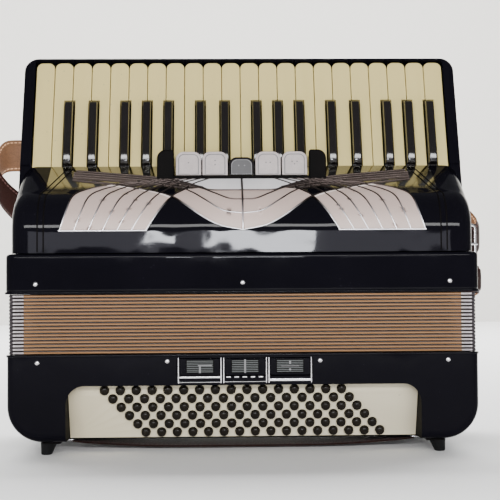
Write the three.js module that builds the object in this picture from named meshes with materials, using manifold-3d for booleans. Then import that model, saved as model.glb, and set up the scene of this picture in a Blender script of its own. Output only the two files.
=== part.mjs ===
// A full-size piano accordion standing on the feet of its bass side, in millimetres.
// X runs along the keyboard, Y from the grille towards the player, Z from the bass side to the keyboard.
import * as THREE from 'three';
import { mergeVertices } from 'three/addons/utils/BufferGeometryUtils.js';
import Module from 'manifold-3d';

const wasm = await Module();
wasm.setup();

// ---------------------------------------------------------------- driving dimensions
const GAP = 0.4;
const DEPTH = 190;

const KEY_PITCH = 20;
const WHITE_COUNT = 22;
const WHITE_WIDTH = 19;
const WHITE_LENGTH = 123.5;
const WHITE_THICK = 16;
const BLACK_LENGTH = 77;
const BLACK_WIDTH = 10;
const BLACK_RISE = 10;
const BLACK_CLEAR = 1;
const BLACK_SHIFT = 3;
const KEY_TAIL = 18;
const KEYBOARD_LEAN = THREE.MathUtils.degToRad(17.24);
const KEY_ROOT = { y: 71.85, z: 291.86 };
const AXLE = { u: -12, n: -8, radius: 1.5, clearance: 0.5, halfLength: 226 };

const FRAME_HALF = 232.5;
const FRAME_TOP = 128;
const FRAME_TAIL = 28;
const FRAME_BACK = 32;
const FRAME_POCKET = 22;
const FRAME_CHEEK = 3;
const FRAME_CORNER = 15;

const TREBLE = { half: 236, bottom: 160.2, rimTop: 200, wall: 6, corner: 12 };
const HOUSING = { half: 231.5, wall: 4.5 };
const COVER = { half: 231, bottom: 200.4, wall: 3, endBevel: 12 };

const BELLOWS = { half: 232, front: 3, bottom: 100, top: 159.8, folds: 17, pleat: 5, wall: 27, corner: 9 };

const BASS = { half: 234, bottom: 14, top: 99.6, wall: 6, corner: 35, edge: 9 };
const BOARD = { half: 176, top: 72, y: 14.55, above: 2.5, length: 62, thick: 3, corner: 18 };
const BOARD_LEAN = THREE.MathUtils.degToRad(20.9);
const BUTTON = { rows: 6, perRow: 16, pitch: 15.84, rowPitch: 9.35, shift: 8.06, radius: 4.4, rise: 4 };
const BUTTON_FIRST = { x: -139.3, w: -9.1 };
const BUTTON_BAR = { depth: 8, thick: 2 };

const FOOT = { x: 196, front: 20, back: 168, topRadius: 8, tipRadius: 5.5, height: 12 };
const END_PLATE = { half: 200, top: 13.6, notch: 182, notchY: 46 };

const TAB = { width: 26.4, pitch: 27.5, height: 25, thick: 4.4, y: 50, bottom: 281.6, lean: 8 };
const REGISTER_END = { inner: 70, outer: 87.5, height: 308 };

// ---------------------------------------------------------------- finishes
const finish = (color, roughness, metalness = 0) =>
  new THREE.MeshStandardMaterial({ color, roughness, metalness });
const FINISH = {
  blackGloss: () => finish(0x0b0a10, 0.12),
  ivory: () => finish(0xd8cfa6, 0.3),
  ebony: () => finish(0x0c0a0d, 0.2),
  steel: () => finish(0xb9bcc2, 0.35, 1),
  pearl: () => finish(0xbdb6bb, 0.35),
  tape: () => finish(0x9a7440, 0.6),
  board: () => finish(0xd3cdb2, 0.45),
  buttonBlack: () => finish(0x1b1a1c, 0.25),
  leather: () => finish(0x4a2b20, 0.6),
  rubber: () => finish(0x101012, 0.8),
  wood: () => finish(0xb98b57, 0.7),
};

// ---------------------------------------------------------------- solids
function solidOf(geometry) {
  const bare = geometry.clone();
  bare.deleteAttribute('normal');
  bare.deleteAttribute('uv');
  const merged = mergeVertices(bare, 1e-4);
  return new wasm.Manifold(new wasm.Mesh({
    numProp: 3,
    vertProperties: new Float32Array(merged.attributes.position.array),
    triVerts: new Uint32Array(merged.index.array),
  }));
}

function geometryOf(solid) {
  const mesh = solid.getMesh();
  const geometry = new THREE.BufferGeometry();
  geometry.setAttribute('position', new THREE.BufferAttribute(new Float32Array(mesh.vertProperties), 3));
  geometry.setIndex(new THREE.BufferAttribute(new Uint32Array(mesh.triVerts), 1));
  geometry.computeVertexNormals();
  return geometry;
}

const BASIS_X = new THREE.Matrix4().makeBasis(
  new THREE.Vector3(0, 1, 0), new THREE.Vector3(0, 0, 1), new THREE.Vector3(1, 0, 0));
const BASIS_Y = new THREE.Matrix4().makeBasis(
  new THREE.Vector3(1, 0, 0), new THREE.Vector3(0, 0, 1), new THREE.Vector3(0, -1, 0));

const polygon = (points) => new THREE.Shape(points.map(([a, b]) => new THREE.Vector2(a, b)));

function extruded(shape, low, high, options = {}) {
  const geometry = new THREE.ExtrudeGeometry(shape, {
    depth: high - low, bevelEnabled: false, curveSegments: 4, ...options,
  });
  geometry.translate(0, 0, low);
  return geometry;
}

// A prism along X of an outline given in (y, z).
const alongX = (shape, low, high, options) =>
  solidOf(extruded(shape, low, high, options).applyMatrix4(BASIS_X));
// A prism along Y of an outline given in (x, z).
const alongY = (shape, low, high, options) =>
  solidOf(extruded(shape, -high, -low, options).applyMatrix4(BASIS_Y));
// A prism along Z of an outline given in (x, y).
const alongZ = (shape, low, high, options) => solidOf(extruded(shape, low, high, options));

function boxSolid(x, y, z, matrix) {
  const geometry = new THREE.BoxGeometry(x[1] - x[0], y[1] - y[0], z[1] - z[0]);
  geometry.translate((x[0] + x[1]) / 2, (y[0] + y[1]) / 2, (z[0] + z[1]) / 2);
  if (matrix) {
    geometry.applyMatrix4(matrix);
  }
  return solidOf(geometry);
}

// A rectangle whose four corners have their own radii, in the order
// low-low, high-low, high-high, low-high.
function roundedRect(x0, y0, x1, y1, [r00, r10, r11, r01]) {
  const shape = new THREE.Shape();
  shape.moveTo(x0 + r00, y0);
  shape.lineTo(x1 - r10, y0);
  if (r10) {
    shape.absarc(x1 - r10, y0 + r10, r10, -Math.PI / 2, 0);
  }
  shape.lineTo(x1, y1 - r11);
  if (r11) {
    shape.absarc(x1 - r11, y1 - r11, r11, 0, Math.PI / 2);
  }
  shape.lineTo(x0 + r01, y1);
  if (r01) {
    shape.absarc(x0 + r01, y1 - r01, r01, Math.PI / 2, Math.PI);
  }
  shape.lineTo(x0, y0 + r00);
  if (r00) {
    shape.absarc(x0 + r00, y0 + r00, r00, Math.PI, Math.PI * 1.5);
  }
  return shape;
}

const allCorners = (r) => [r, r, r, r];

// A round bar along X.
function barX(radius, x0, x1, y, z, sides = 8) {
  const geometry = new THREE.CylinderGeometry(radius, radius, x1 - x0, sides);
  geometry.rotateZ(Math.PI / 2);
  geometry.translate((x0 + x1) / 2, y, z);
  return solidOf(geometry);
}

function meshOf(name, solid, material) {
  const mesh = new THREE.Mesh(geometryOf(solid), material);
  mesh.name = name;
  return mesh;
}

const accordion = new THREE.Group();
const keyboard = new THREE.Group();
keyboard.position.set(0, KEY_ROOT.y, KEY_ROOT.z);
keyboard.rotation.x = Math.PI / 2 - KEYBOARD_LEAN;
keyboard.updateMatrix();
const boardGroup = new THREE.Group();
boardGroup.position.set(0, BOARD.y, BOARD.top);
boardGroup.rotation.x = Math.PI / 2 + BOARD_LEAN;
boardGroup.updateMatrix();
accordion.add(keyboard, boardGroup);

// A point of the side view, (y, z), from u along the keys and n out of their tops.
function keyPlane(u, n) {
  const point = new THREE.Vector3(0, u, n).applyMatrix4(keyboard.matrix);
  return [point.y, point.z];
}

// ---------------------------------------------------------------- keys
// The keyboard reads from the highest note to the lowest, and a black key
// follows these naturals, moved off the joint of its two neighbours.
const NATURALS = 'FEDCBAG';
const BLACK_AFTER = { E: -BLACK_SHIFT, D: BLACK_SHIFT, B: -BLACK_SHIFT, A: 0, G: BLACK_SHIFT };

const jointX = (index) => (index - WHITE_COUNT / 2) * KEY_PITCH;
const blackKeys = [];
for (let i = 0; i < WHITE_COUNT - 1; i += 1) {
  const shift = BLACK_AFTER[NATURALS[i % NATURALS.length]];
  if (shift !== undefined) {
    blackKeys.push({ after: i, x: jointX(i + 1) + shift });
  }
}

const axleBore = (x0, x1) => barX(AXLE.radius + AXLE.clearance, x0, x1, AXLE.u, AXLE.n);

// The white key's top outline in (x, u), cut back beside each black key.
function whiteOutline(index) {
  const middle = jointX(index) + KEY_PITCH / 2;
  const left = middle - WHITE_WIDTH / 2;
  const right = middle + WHITE_WIDTH / 2;
  const cut = BLACK_WIDTH / 2 + BLACK_CLEAR;
  const before = blackKeys.find((key) => key.after === index - 1);
  const after = blackKeys.find((key) => key.after === index);
  const innerLeft = before ? before.x + cut : left;
  const innerRight = after ? after.x - cut : right;
  const shoulder = BLACK_LENGTH + BLACK_CLEAR + 1;
  const nose = 4;
  const shape = new THREE.Shape();
  shape.moveTo(innerLeft, -KEY_TAIL);
  shape.lineTo(innerRight, -KEY_TAIL);
  if (after) {
    shape.lineTo(innerRight, shoulder);
    shape.lineTo(right, shoulder);
  }
  shape.lineTo(right, WHITE_LENGTH - nose);
  shape.absarc(right - nose, WHITE_LENGTH - nose, nose, 0, Math.PI / 2);
  shape.lineTo(left + nose, WHITE_LENGTH);
  shape.absarc(left + nose, WHITE_LENGTH - nose, nose, Math.PI / 2, Math.PI);
  if (before) {
    shape.lineTo(left, shoulder);
    shape.lineTo(innerLeft, shoulder);
  }
  return shape;
}

const twoDigits = (number) => String(number).padStart(2, '0');

for (let i = 0; i < WHITE_COUNT; i += 1) {
  const outline = alongZ(whiteOutline(i), -WHITE_THICK, 0, { curveSegments: 2 });
  const key = outline.subtract(axleBore(jointX(i) - 2, jointX(i + 1) + 2));
  keyboard.add(meshOf(`key_white_${twoDigits(i + 1)}`, key, FINISH.ivory()));
}

// The black key's side view in (u, n): a tail under the cover, a short step, a
// rising slope behind, a long top and a steep nose.
const BLACK_SIDE = [
  [-KEY_TAIL, -WHITE_THICK],
  [BLACK_LENGTH, -WHITE_THICK],
  [BLACK_LENGTH, 1],
  [BLACK_LENGTH - 4, BLACK_RISE - 1.5],
  [BLACK_LENGTH - 7, BLACK_RISE],
  [18, BLACK_RISE],
  [14.5, BLACK_RISE - 1.6],
  [4, BLACK_RISE / 2],
  [3, 0],
  [-KEY_TAIL, -1],
];
blackKeys.forEach((black, index) => {
  const half = BLACK_WIDTH / 2;
  const topHalf = half - 1.2;
  const side = alongX(polygon(BLACK_SIDE), black.x - half, black.x + half);
  const section = polygon([
    [black.x - half, -WHITE_THICK - 1],
    [black.x + half, -WHITE_THICK - 1],
    [black.x + half, 0],
    [black.x + topHalf, BLACK_RISE + 1],
    [black.x - topHalf, BLACK_RISE + 1],
    [black.x - half, 0],
  ]);
  const taper = alongY(section, -KEY_TAIL - 1, BLACK_LENGTH + 1);
  const key = side.intersect(taper).subtract(axleBore(black.x - half - 1, black.x + half + 1));
  keyboard.add(meshOf(`key_black_${twoDigits(index + 1)}`, key, FINISH.ebony()));
});

keyboard.add(meshOf(
  'key_axle', barX(AXLE.radius, -AXLE.halfLength, AXLE.halfLength, AXLE.u, AXLE.n), FINISH.steel()));

// ---------------------------------------------------------------- keyboard frame
function keyboardFrame() {
  const outline = roundedRect(
    -FRAME_HALF, -FRAME_TAIL, FRAME_HALF, FRAME_TOP, [0, 0, FRAME_CORNER, FRAME_CORNER]);
  const pocketHalf = WHITE_COUNT * KEY_PITCH / 2 + 0.8;
  const pocket = boxSolid(
    [-pocketHalf, pocketHalf], [-FRAME_TAIL - 1, WHITE_LENGTH + 1.5], [-FRAME_POCKET, FRAME_CHEEK + 1]);
  const underCover = boxSolid([-240, 240], [-FRAME_TAIL - 1, 3], [0.2, FRAME_CHEEK + 1]);
  return alongZ(outline, -FRAME_BACK, FRAME_CHEEK)
    .subtract(pocket)
    .subtract(underCover)
    .subtract(axleBore(-AXLE.halfLength - 1, AXLE.halfLength + 1));
}
keyboard.add(meshOf('keyboard_frame', keyboardFrame(), FINISH.blackGloss()));

// ---------------------------------------------------------------- grille cover
// The cover's side view: up the front, over a quarter round, and along the
// sloping ledge to the roots of the keys.
const LEDGE_TOP = keyPlane(1, 1.2);
const LEDGE_FOOT = [25, 263];
const SHOULDER = [0, 222];

function coverShape(inset, below) {
  const shape = new THREE.Shape();
  shape.moveTo(inset, below);
  shape.lineTo(inset, SHOULDER[1]);
  shape.bezierCurveTo(
    inset, SHOULDER[1] + 24 - inset / 2, LEDGE_FOOT[0] - 12 + inset / 2, LEDGE_FOOT[1] - 6 - inset,
    LEDGE_FOOT[0] + inset / 2, LEDGE_FOOT[1] - inset);
  shape.lineTo(LEDGE_TOP[0] + inset / 2, LEDGE_TOP[1] - inset);
  shape.lineTo(LEDGE_TOP[0] + 60, LEDGE_TOP[1] - inset);
  shape.lineTo(LEDGE_TOP[0] + 60, below);
  return shape;
}

const behindKeyTops = (n) => boxSolid([-260, 260], [-130, 60], [-120, n], keyboard.matrix);
const belowRim = boxSolid([-260, 260], [-20, 200], [120, COVER.bottom]);

function grilleCover() {
  const bevel = COVER.endBevel;
  const outer = alongX(coverShape(0, 150), -COVER.half, COVER.half, { curveSegments: 8 });
  const corners = alongZ(
    roundedRect(-COVER.half, 0, COVER.half, 200, [bevel, bevel, 0, 0]), 150, 320);
  const inner = alongX(
    coverShape(COVER.wall, 140), -COVER.half + COVER.wall, COVER.half - COVER.wall, { curveSegments: 8 });
  return outer.intersect(corners).subtract(inner).subtract(behindKeyTops(0.6)).subtract(belowRim);
}
const cover = grilleCover();
accordion.add(meshOf('grille_cover', cover, FINISH.blackGloss()));

// ---------------------------------------------------------------- treble case
// The closed housing behind the keyboard, in side view, standing on the rim.
function housingShape() {
  const shape = new THREE.Shape();
  shape.moveTo(DEPTH, TREBLE.rimTop - 2);
  shape.lineTo(DEPTH, 232);
  shape.absarc(DEPTH - 30, 232, 30, 0, Math.PI / 2 - 0.35);
  const corners = [
    keyPlane(3, -FRAME_BACK - GAP),
    keyPlane(-FRAME_TAIL - GAP, -FRAME_BACK - GAP),
    keyPlane(-FRAME_TAIL - GAP, 0.2),
    keyPlane(-98, 0.2),
  ];
  corners.forEach(([y, z]) => shape.lineTo(y, z));
  return shape;
}

function housingHollow() {
  const wall = HOUSING.wall;
  const shape = new THREE.Shape();
  shape.moveTo(DEPTH - wall, TREBLE.rimTop - 20);
  shape.lineTo(DEPTH - wall, 230);
  shape.absarc(DEPTH - 30, 232, 30 - wall, 0, Math.PI / 2 - 0.35);
  const corners = [
    keyPlane(-3, -FRAME_BACK - 2 * wall),
    keyPlane(-FRAME_TAIL - wall, -FRAME_BACK - wall),
    keyPlane(-FRAME_TAIL - wall, -wall),
    keyPlane(-90, -wall),
    [50, TREBLE.rimTop - 20],
  ];
  corners.forEach(([y, z]) => shape.lineTo(y, z));
  return shape;
}

function trebleCase() {
  const wall = TREBLE.wall;
  const rim = alongZ(
    roundedRect(-TREBLE.half, 0, TREBLE.half, DEPTH, allCorners(TREBLE.corner)),
    TREBLE.bottom, TREBLE.rimTop);
  const rimHollow = alongZ(
    roundedRect(-TREBLE.half + wall, wall, TREBLE.half - wall, DEPTH - wall, allCorners(TREBLE.corner - wall)),
    TREBLE.bottom - 1, TREBLE.rimTop + 1);
  const housing = alongX(housingShape(), -HOUSING.half, HOUSING.half);
  const hollow = alongX(housingHollow(), -HOUSING.half + HOUSING.wall, HOUSING.half - HOUSING.wall);
  const valveWindow = boxSolid([-215, 215], [-88, -38], [-20, 10], keyboard.matrix);
  return rim.add(housing).subtract(rimHollow).subtract(hollow).subtract(valveWindow);
}
accordion.add(meshOf('treble_case', trebleCase(), FINISH.blackGloss()));

// The soundboard inside the treble rim, with three rows of reed blocks under
// it that reach down into the bellows.
function trebleReedBlock() {
  const rimInner = TREBLE.half - TREBLE.wall - GAP;
  const plateY = [TREBLE.wall + GAP, DEPTH - TREBLE.wall - GAP];
  let block = boxSolid([-rimInner + 8, rimInner - 8], plateY, [188, 193]);
  for (const y of [42, 86, 130]) {
    block = block.add(alongX(polygon([[y, 189], [y + 6, 142], [y + 16, 142], [y + 22, 189]]), -190, 190));
  }
  return block;
}
accordion.add(meshOf('treble_reed_block', trebleReedBlock(), FINISH.wood()));

// ---------------------------------------------------------------- treble registers
const coverEnvelope = alongX(coverShape(-GAP, 150), -COVER.half, COVER.half, { curveSegments: 8 });

function registerHousing() {
  const endShape = roundedRect(
    REGISTER_END.inner, 270, REGISTER_END.outer, REGISTER_END.height, [0, 0, 9, 2]);
  const end = alongY(endShape, TAB.y - 6, TAB.y + 5);
  const otherEnd = end.mirror([1, 0, 0]);
  const base = boxSolid([-REGISTER_END.outer, REGISTER_END.outer], [TAB.y - 10, TAB.y + 4], [270, TAB.bottom - 0.6]);
  return end.add(otherEnd).add(base).subtract(coverEnvelope);
}
accordion.add(meshOf('register_housing', registerHousing(), FINISH.blackGloss()));

function registerTab(height) {
  const outline = roundedRect(-TAB.width / 2, 0, TAB.width / 2, height, [0, 0, 8, 8]);
  return alongY(outline, -TAB.thick / 2, TAB.thick / 2);
}
for (let i = 0; i < 5; i += 1) {
  const isMaster = i === 2;
  const pearlIndex = i < 2 ? i + 1 : i;
  const tab = meshOf(
    isMaster ? 'register_tab_master' : `register_tab_${pearlIndex}`,
    registerTab(isMaster ? TAB.height - 6 : TAB.height),
    isMaster ? FINISH.buttonBlack() : FINISH.pearl());
  tab.position.set((i - 2) * TAB.pitch, TAB.y, TAB.bottom);
  tab.rotation.x = -THREE.MathUtils.degToRad(TAB.lean);
  accordion.add(tab);
}

// ---------------------------------------------------------------- bellows
// A ring of folds: the outer edge of every second level is drawn in.
function bellows() {
  const { half, front, bottom, top, folds, pleat, wall, corner } = BELLOWS;
  const shape = roundedRect(-half, front, half, DEPTH - front, allCorners(corner));
  const hole = roundedRect(
    -half + wall, front + wall, half - wall, DEPTH - front - wall, allCorners(0));
  shape.holes.push(new THREE.Path(hole.getPoints()));
  const geometry = extruded(shape, bottom, top, { steps: 2 * folds, curveSegments: 2 });
  const position = geometry.attributes.position;
  const middleY = DEPTH / 2;
  const halfY = middleY - front;
  const rise = (top - bottom) / (2 * folds);
  for (let i = 0; i < position.count; i += 1) {
    const level = Math.round((position.getZ(i) - bottom) / rise);
    const isOuter = Math.abs(position.getX(i)) > half - wall + 1
      || Math.abs(position.getY(i) - middleY) > halfY - wall + 1;
    if (isOuter && level % 2 === 0) {
      position.setX(i, position.getX(i) * (1 - pleat / half));
      position.setY(i, middleY + (position.getY(i) - middleY) * (1 - pleat / halfY));
    }
  }
  return solidOf(geometry);
}
accordion.add(meshOf('bellows', bellows(), FINISH.tape()));

// ---------------------------------------------------------------- bass case
const BOARD_SEAT = BOARD.thick + GAP;

function bassCase() {
  const { half, bottom, top, wall, corner, edge } = BASS;
  const outer = alongY(roundedRect(-half, bottom, half, top, [corner, corner, 0, 0]), 0, DEPTH)
    .intersect(alongZ(roundedRect(-half, 0, half, DEPTH, allCorners(edge)), 0, 120));
  const behindBoard = boxSolid(
    [-BOARD.half - 5, BOARD.half + 5], [-BOARD.length - 15, 6], [-BOARD_SEAT - 3, 60], boardGroup.matrix);
  const hollow = alongY(
    roundedRect(-half + wall, bottom + wall, half - wall, top + 5, [corner - wall, corner - wall, 0, 0]),
    wall, DEPTH - wall).subtract(behindBoard);
  const recess = solidOf(extruded(
    roundedRect(-BOARD.half, -BOARD.length - 20, BOARD.half, BOARD.above, [0, 0, BOARD.corner, BOARD.corner]),
    -BOARD_SEAT, 60).applyMatrix4(boardGroup.matrix));
  const boardWindow = boxSolid(
    [-BOARD.half + 10, BOARD.half - 10], [-BOARD.length + 0.6, -4], [-BOARD_SEAT - 20, 0], boardGroup.matrix);
  const registerWindow = boxSolid([-68, 68], [-1, wall + 1], [77.6, 96]);
  const serviceWindow = boxSolid([-150, 150], [70, 140], [bottom - 1, bottom + wall + 1]);
  const airHole = boxSolid([AIR.x - 6, AIR.x + 6], [AIR.y - 6, AIR.y + 6], [bottom - 1, bottom + wall + 1]);
  return outer.subtract(hollow).subtract(recess).subtract(boardWindow)
    .subtract(registerWindow).subtract(serviceWindow).subtract(airHole);
}

const AIR = { x: 168, y: 158, radius: 9, stem: 3, cap: 4, travel: 3 };
accordion.add(meshOf('bass_case', bassCase(), FINISH.blackGloss()));

function buttonPlace(row, column) {
  return {
    x: BUTTON_FIRST.x + row * BUTTON.shift + column * BUTTON.pitch,
    w: BUTTON_FIRST.w - row * BUTTON.rowPitch,
  };
}

function eachButton(make) {
  for (let row = 0; row < BUTTON.rows; row += 1) {
    for (let column = 0; column < BUTTON.perRow; column += 1) {
      make(buttonPlace(row, column));
    }
  }
}

function hexagon(x, y, radius) {
  const corners = [];
  for (let i = 0; i < 6; i += 1) {
    const angle = (i + 0.5) * Math.PI / 3;
    corners.push([x + radius * Math.cos(angle), y + radius * Math.sin(angle)]);
  }
  return corners;
}

function buttonBoard() {
  const inner = BOARD.half - GAP;
  const shape = roundedRect(
    -inner, -BOARD.length, inner, BOARD.above - GAP, [0, 0, BOARD.corner - GAP, BOARD.corner - GAP]);
  eachButton(({ x, w }) => {
    const corners = hexagon(x, w, BUTTON.radius + 0.8);
    shape.holes.push(new THREE.Path(corners.map(([a, b]) => new THREE.Vector2(a, b))));
  });
  return solidOf(extruded(shape, -BOARD.thick, 0));
}
boardGroup.add(meshOf('button_board', buttonBoard(), FINISH.board()));

// Every button stands on one hidden bar behind the board.
function bassButtons() {
  const low = buttonPlace(BUTTON.rows - 1, 0);
  const barLow = -BUTTON_BAR.depth - BUTTON_BAR.thick;
  const stems = [];
  eachButton(({ x, w }) => {
    stems.push(solidOf(extruded(polygon(hexagon(x, w, BUTTON.radius)), -BUTTON_BAR.depth - 1, BUTTON.rise)));
  });
  const bar = boxSolid([-146, 146], [low.w, BUTTON_FIRST.w], [barLow, -BUTTON_BAR.depth]);
  return wasm.Manifold.union([bar, ...stems]);
}
boardGroup.add(meshOf('bass_buttons', bassButtons(), FINISH.buttonBlack()));

for (let i = 0; i < 3; i += 1) {
  const x = (i - 1) * 45;
  const tablet = alongY(roundedRect(x - 20.5, 78.4, x + 20.5, 95.2, allCorners(1.5)), 0.4, 5, { curveSegments: 1 });
  accordion.add(meshOf(`bass_register_${i + 1}`, tablet, FINISH.buttonBlack()));
}

// ---------------------------------------------------------------- bass end plate, feet and air button
function foot(x, y) {
  const height = FOOT.height;
  const profile = [[0, 0], [FOOT.tipRadius, 0], [FOOT.tipRadius + 0.5, 2], [FOOT.topRadius, height], [0, height]];
  const geometry = new THREE.LatheGeometry(profile.map(([r, z]) => new THREE.Vector2(r, z)), 12);
  geometry.rotateX(Math.PI / 2);
  geometry.translate(x, y, 0);
  return solidOf(geometry);
}

function bassEndPlate() {
  const { half, top, notch, notchY } = END_PLATE;
  const shape = polygon([
    [-half, 10], [-notch, 10], [-notch, notchY], [notch, notchY], [notch, 10], [half, 10],
    [half, DEPTH - 10], [-half, DEPTH - 10],
  ]);
  const stemHole = new THREE.Path(
    hexagon(AIR.x, AIR.y, AIR.stem + 1).map(([a, b]) => new THREE.Vector2(a, b)));
  shape.holes.push(stemHole);
  let plate = alongZ(shape, FOOT.height - 0.5, top);
  for (const x of [-FOOT.x, FOOT.x]) {
    for (const y of [FOOT.front, FOOT.back]) {
      plate = plate.add(foot(x, y));
    }
  }
  return plate;
}
accordion.add(meshOf('bass_end_plate', bassEndPlate(), FINISH.rubber()));

// The air button: a cap under the plate and a stem through it.
function airButton() {
  const capTop = FOOT.height - 0.5 - AIR.travel - GAP;
  const profile = [
    [0, capTop - AIR.cap], [AIR.radius - 1.5, capTop - AIR.cap], [AIR.radius, capTop - AIR.cap + 1.2],
    [AIR.radius, capTop], [AIR.stem, capTop], [AIR.stem, capTop + 20], [0, capTop + 20],
  ];
  const geometry = new THREE.LatheGeometry(profile.map(([r, z]) => new THREE.Vector2(r, z)), 12);
  geometry.rotateX(Math.PI / 2);
  geometry.translate(AIR.x, AIR.y, 0);
  return solidOf(geometry);
}
accordion.add(meshOf('air_button', airButton(), FINISH.steel()));

// ---------------------------------------------------------------- straps
// The hand strap lies flat under the end plate, bowed away from it in the middle.
function bassStrap() {
  const thick = 2.4;
  const upper = new THREE.SplineCurve([
    new THREE.Vector2(-176, 10.6), new THREE.Vector2(-150, 8), new THREE.Vector2(-90, 4.4),
    new THREE.Vector2(0, 3.8), new THREE.Vector2(90, 4.4), new THREE.Vector2(150, 8),
    new THREE.Vector2(176, 10.6),
  ]).getPoints(24);
  const lower = upper.map((p) => new THREE.Vector2(p.x, p.y - thick)).reverse();
  return alongY(new THREE.Shape([...upper, ...lower]), 48, 128);
}
accordion.add(meshOf('bass_strap', bassStrap(), FINISH.leather()));

// A shoulder strap: a flat band standing on edge, cut as a ribbon in plan and
// then lifted to the height of its route.
function shoulderStrap(route, width, thick, steps) {
  const path = new THREE.CatmullRomCurve3(route.map(([x, y, z]) => new THREE.Vector3(x, y, z)));
  const near = [];
  const far = [];
  for (let i = 0; i <= steps; i += 1) {
    const point = path.getPoint(i / steps);
    const along = path.getTangent(i / steps);
    const across = new THREE.Vector3(-along.y, along.x, 0).setLength(thick / 2);
    near.push(point.clone().add(across));
    far.push(point.clone().sub(across));
  }
  const edge = [...near, ...far.reverse()];
  const ribbon = extruded(polygon(edge.map(({ x, y }) => [x, y])), -width / 2, width / 2);
  const position = ribbon.attributes.position;
  for (let i = 0; i < position.count; i += 1) {
    const corner = edge.find(
      ({ x, y }) => Math.hypot(x - position.getX(i), y - position.getY(i)) < 1e-3);
    position.setZ(i, position.getZ(i) + corner.z);
  }
  return solidOf(ribbon);
}

// The left strap leaves the back of the treble side at both ends and crosses
// behind the keyboard; the right strap lies lower, folded behind the bellows.
const STRAP_LEFT = [
  [-150, 197, 222], [-200, 199, 234], [-252, 206, 256], [-283, 222, 288], [-284, 244, 318], [-262, 258, 326],
  [-190, 268, 318], [-80, 274, 286], [60, 276, 262], [180, 270, 252], [262, 258, 246],
  [284, 240, 230], [274, 216, 217], [230, 202, 214], [160, 197, 215],
];
const STRAP_RIGHT = [
  [-150, 197, 178], [-190, 202, 172], [-212, 216, 152], [-200, 232, 126], [-130, 240, 98], [0, 244, 84],
  [130, 244, 100], [210, 240, 132], [262, 230, 160], [282, 217, 172], [268, 206, 172], [225, 199, 172], [160, 197, 172],
];
const STRAP = { width: 38, thick: 5, steps: 44 };
accordion.add(meshOf(
  'shoulder_strap_left', shoulderStrap(STRAP_LEFT, STRAP.width, STRAP.thick, STRAP.steps), FINISH.leather()));
accordion.add(meshOf(
  'shoulder_strap_right', shoulderStrap(STRAP_RIGHT, STRAP.width - 6, STRAP.thick, STRAP.steps),
  FINISH.leather()));

// The origin is the middle of the whole object's base.
accordion.updateMatrixWorld(true);
const bounds = new THREE.Box3().setFromObject(accordion, true);
const middle = bounds.getCenter(new THREE.Vector3());
accordion.position.set(-middle.x, -middle.y, -bounds.min.z);
accordion.updateMatrixWorld(true);

export default accordion;
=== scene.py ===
"""A black piano accordion with a cream keyboard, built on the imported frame. Lengths are in millimetres
until a mesh is made. X runs along the keyboard, Y from the grille to the player, Z from the bass side to
the keyboard."""
import math

import bmesh
import bpy
import numpy as np
from mathutils import Matrix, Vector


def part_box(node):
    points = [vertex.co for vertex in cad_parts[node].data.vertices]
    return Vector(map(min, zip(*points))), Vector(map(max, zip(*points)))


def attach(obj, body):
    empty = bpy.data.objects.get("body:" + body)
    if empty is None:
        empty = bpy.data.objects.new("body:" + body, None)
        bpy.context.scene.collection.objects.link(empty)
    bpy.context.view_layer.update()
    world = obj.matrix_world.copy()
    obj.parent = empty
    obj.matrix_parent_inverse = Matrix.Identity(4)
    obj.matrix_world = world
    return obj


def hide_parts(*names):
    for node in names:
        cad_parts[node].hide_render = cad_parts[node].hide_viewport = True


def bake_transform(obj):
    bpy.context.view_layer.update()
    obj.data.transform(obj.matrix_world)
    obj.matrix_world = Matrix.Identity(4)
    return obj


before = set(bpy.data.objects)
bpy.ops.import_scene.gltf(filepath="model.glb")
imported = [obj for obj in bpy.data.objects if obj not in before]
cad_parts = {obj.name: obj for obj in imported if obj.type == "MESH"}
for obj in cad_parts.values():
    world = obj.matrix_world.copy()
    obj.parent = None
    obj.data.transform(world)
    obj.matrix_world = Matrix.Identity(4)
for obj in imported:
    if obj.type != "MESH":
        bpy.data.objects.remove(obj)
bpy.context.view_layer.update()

MM = 0.001

# ---------------------------------------------------------------- driving sizes, from the frame
case_low, case_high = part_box("bass_case")
ORIGIN = np.array([(case_low.x + case_high.x) / 2, case_low.y, 0.0]) / MM
DEPTH = (case_high.y - case_low.y) / MM


def local_box(node):
    """A node's lowest and highest corners, in millimetres from the middle of the front's foot."""
    low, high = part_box(node)
    return np.array(low) / MM - ORIGIN, np.array(high) / MM - ORIGIN


BASS_LOW, BASS_HIGH = local_box("bass_case")
TREBLE_LOW, TREBLE_HIGH = local_box("treble_case")
BELLOWS_LOW, BELLOWS_HIGH = local_box("bellows")
COVER_LOW, COVER_HIGH = local_box("grille_cover")
FRAME_LOW, FRAME_HIGH = local_box("keyboard_frame")

KEY_LEAN = math.radians(17.24)
KEY_ROOT = (71.85, 291.86)
BOARD_LEAN = math.radians(20.9)
BOARD_EDGE = (14.55, 72.0)
BOARD_TOP = 2.5
RIM_TOP = 200.0
WELD = 1e-6
KNIFE_EDGE = 0.01
CUT_ANGLE = 35
FLAT_SHARE = 0.2


# ---------------------------------------------------------------- mesh making
def along_x(a, b, c):
    """Outline (y, z) carried along x."""
    return np.stack([c, a, b], -1)


def along_y(a, b, c):
    """Outline (x, z) carried along y."""
    return np.stack([a, c, b], -1)


def along_z(a, b, c):
    """Outline (x, y) carried along z."""
    return np.stack([a, b, c], -1)


def on_keyboard(a, b, c):
    """x, distance u from the key roots to the tips, height n above the white keys."""
    y = KEY_ROOT[0] + b * math.sin(KEY_LEAN) - c * math.cos(KEY_LEAN)
    z = KEY_ROOT[1] + b * math.cos(KEY_LEAN) + c * math.sin(KEY_LEAN)
    return np.stack([a, y, z], -1)


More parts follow.
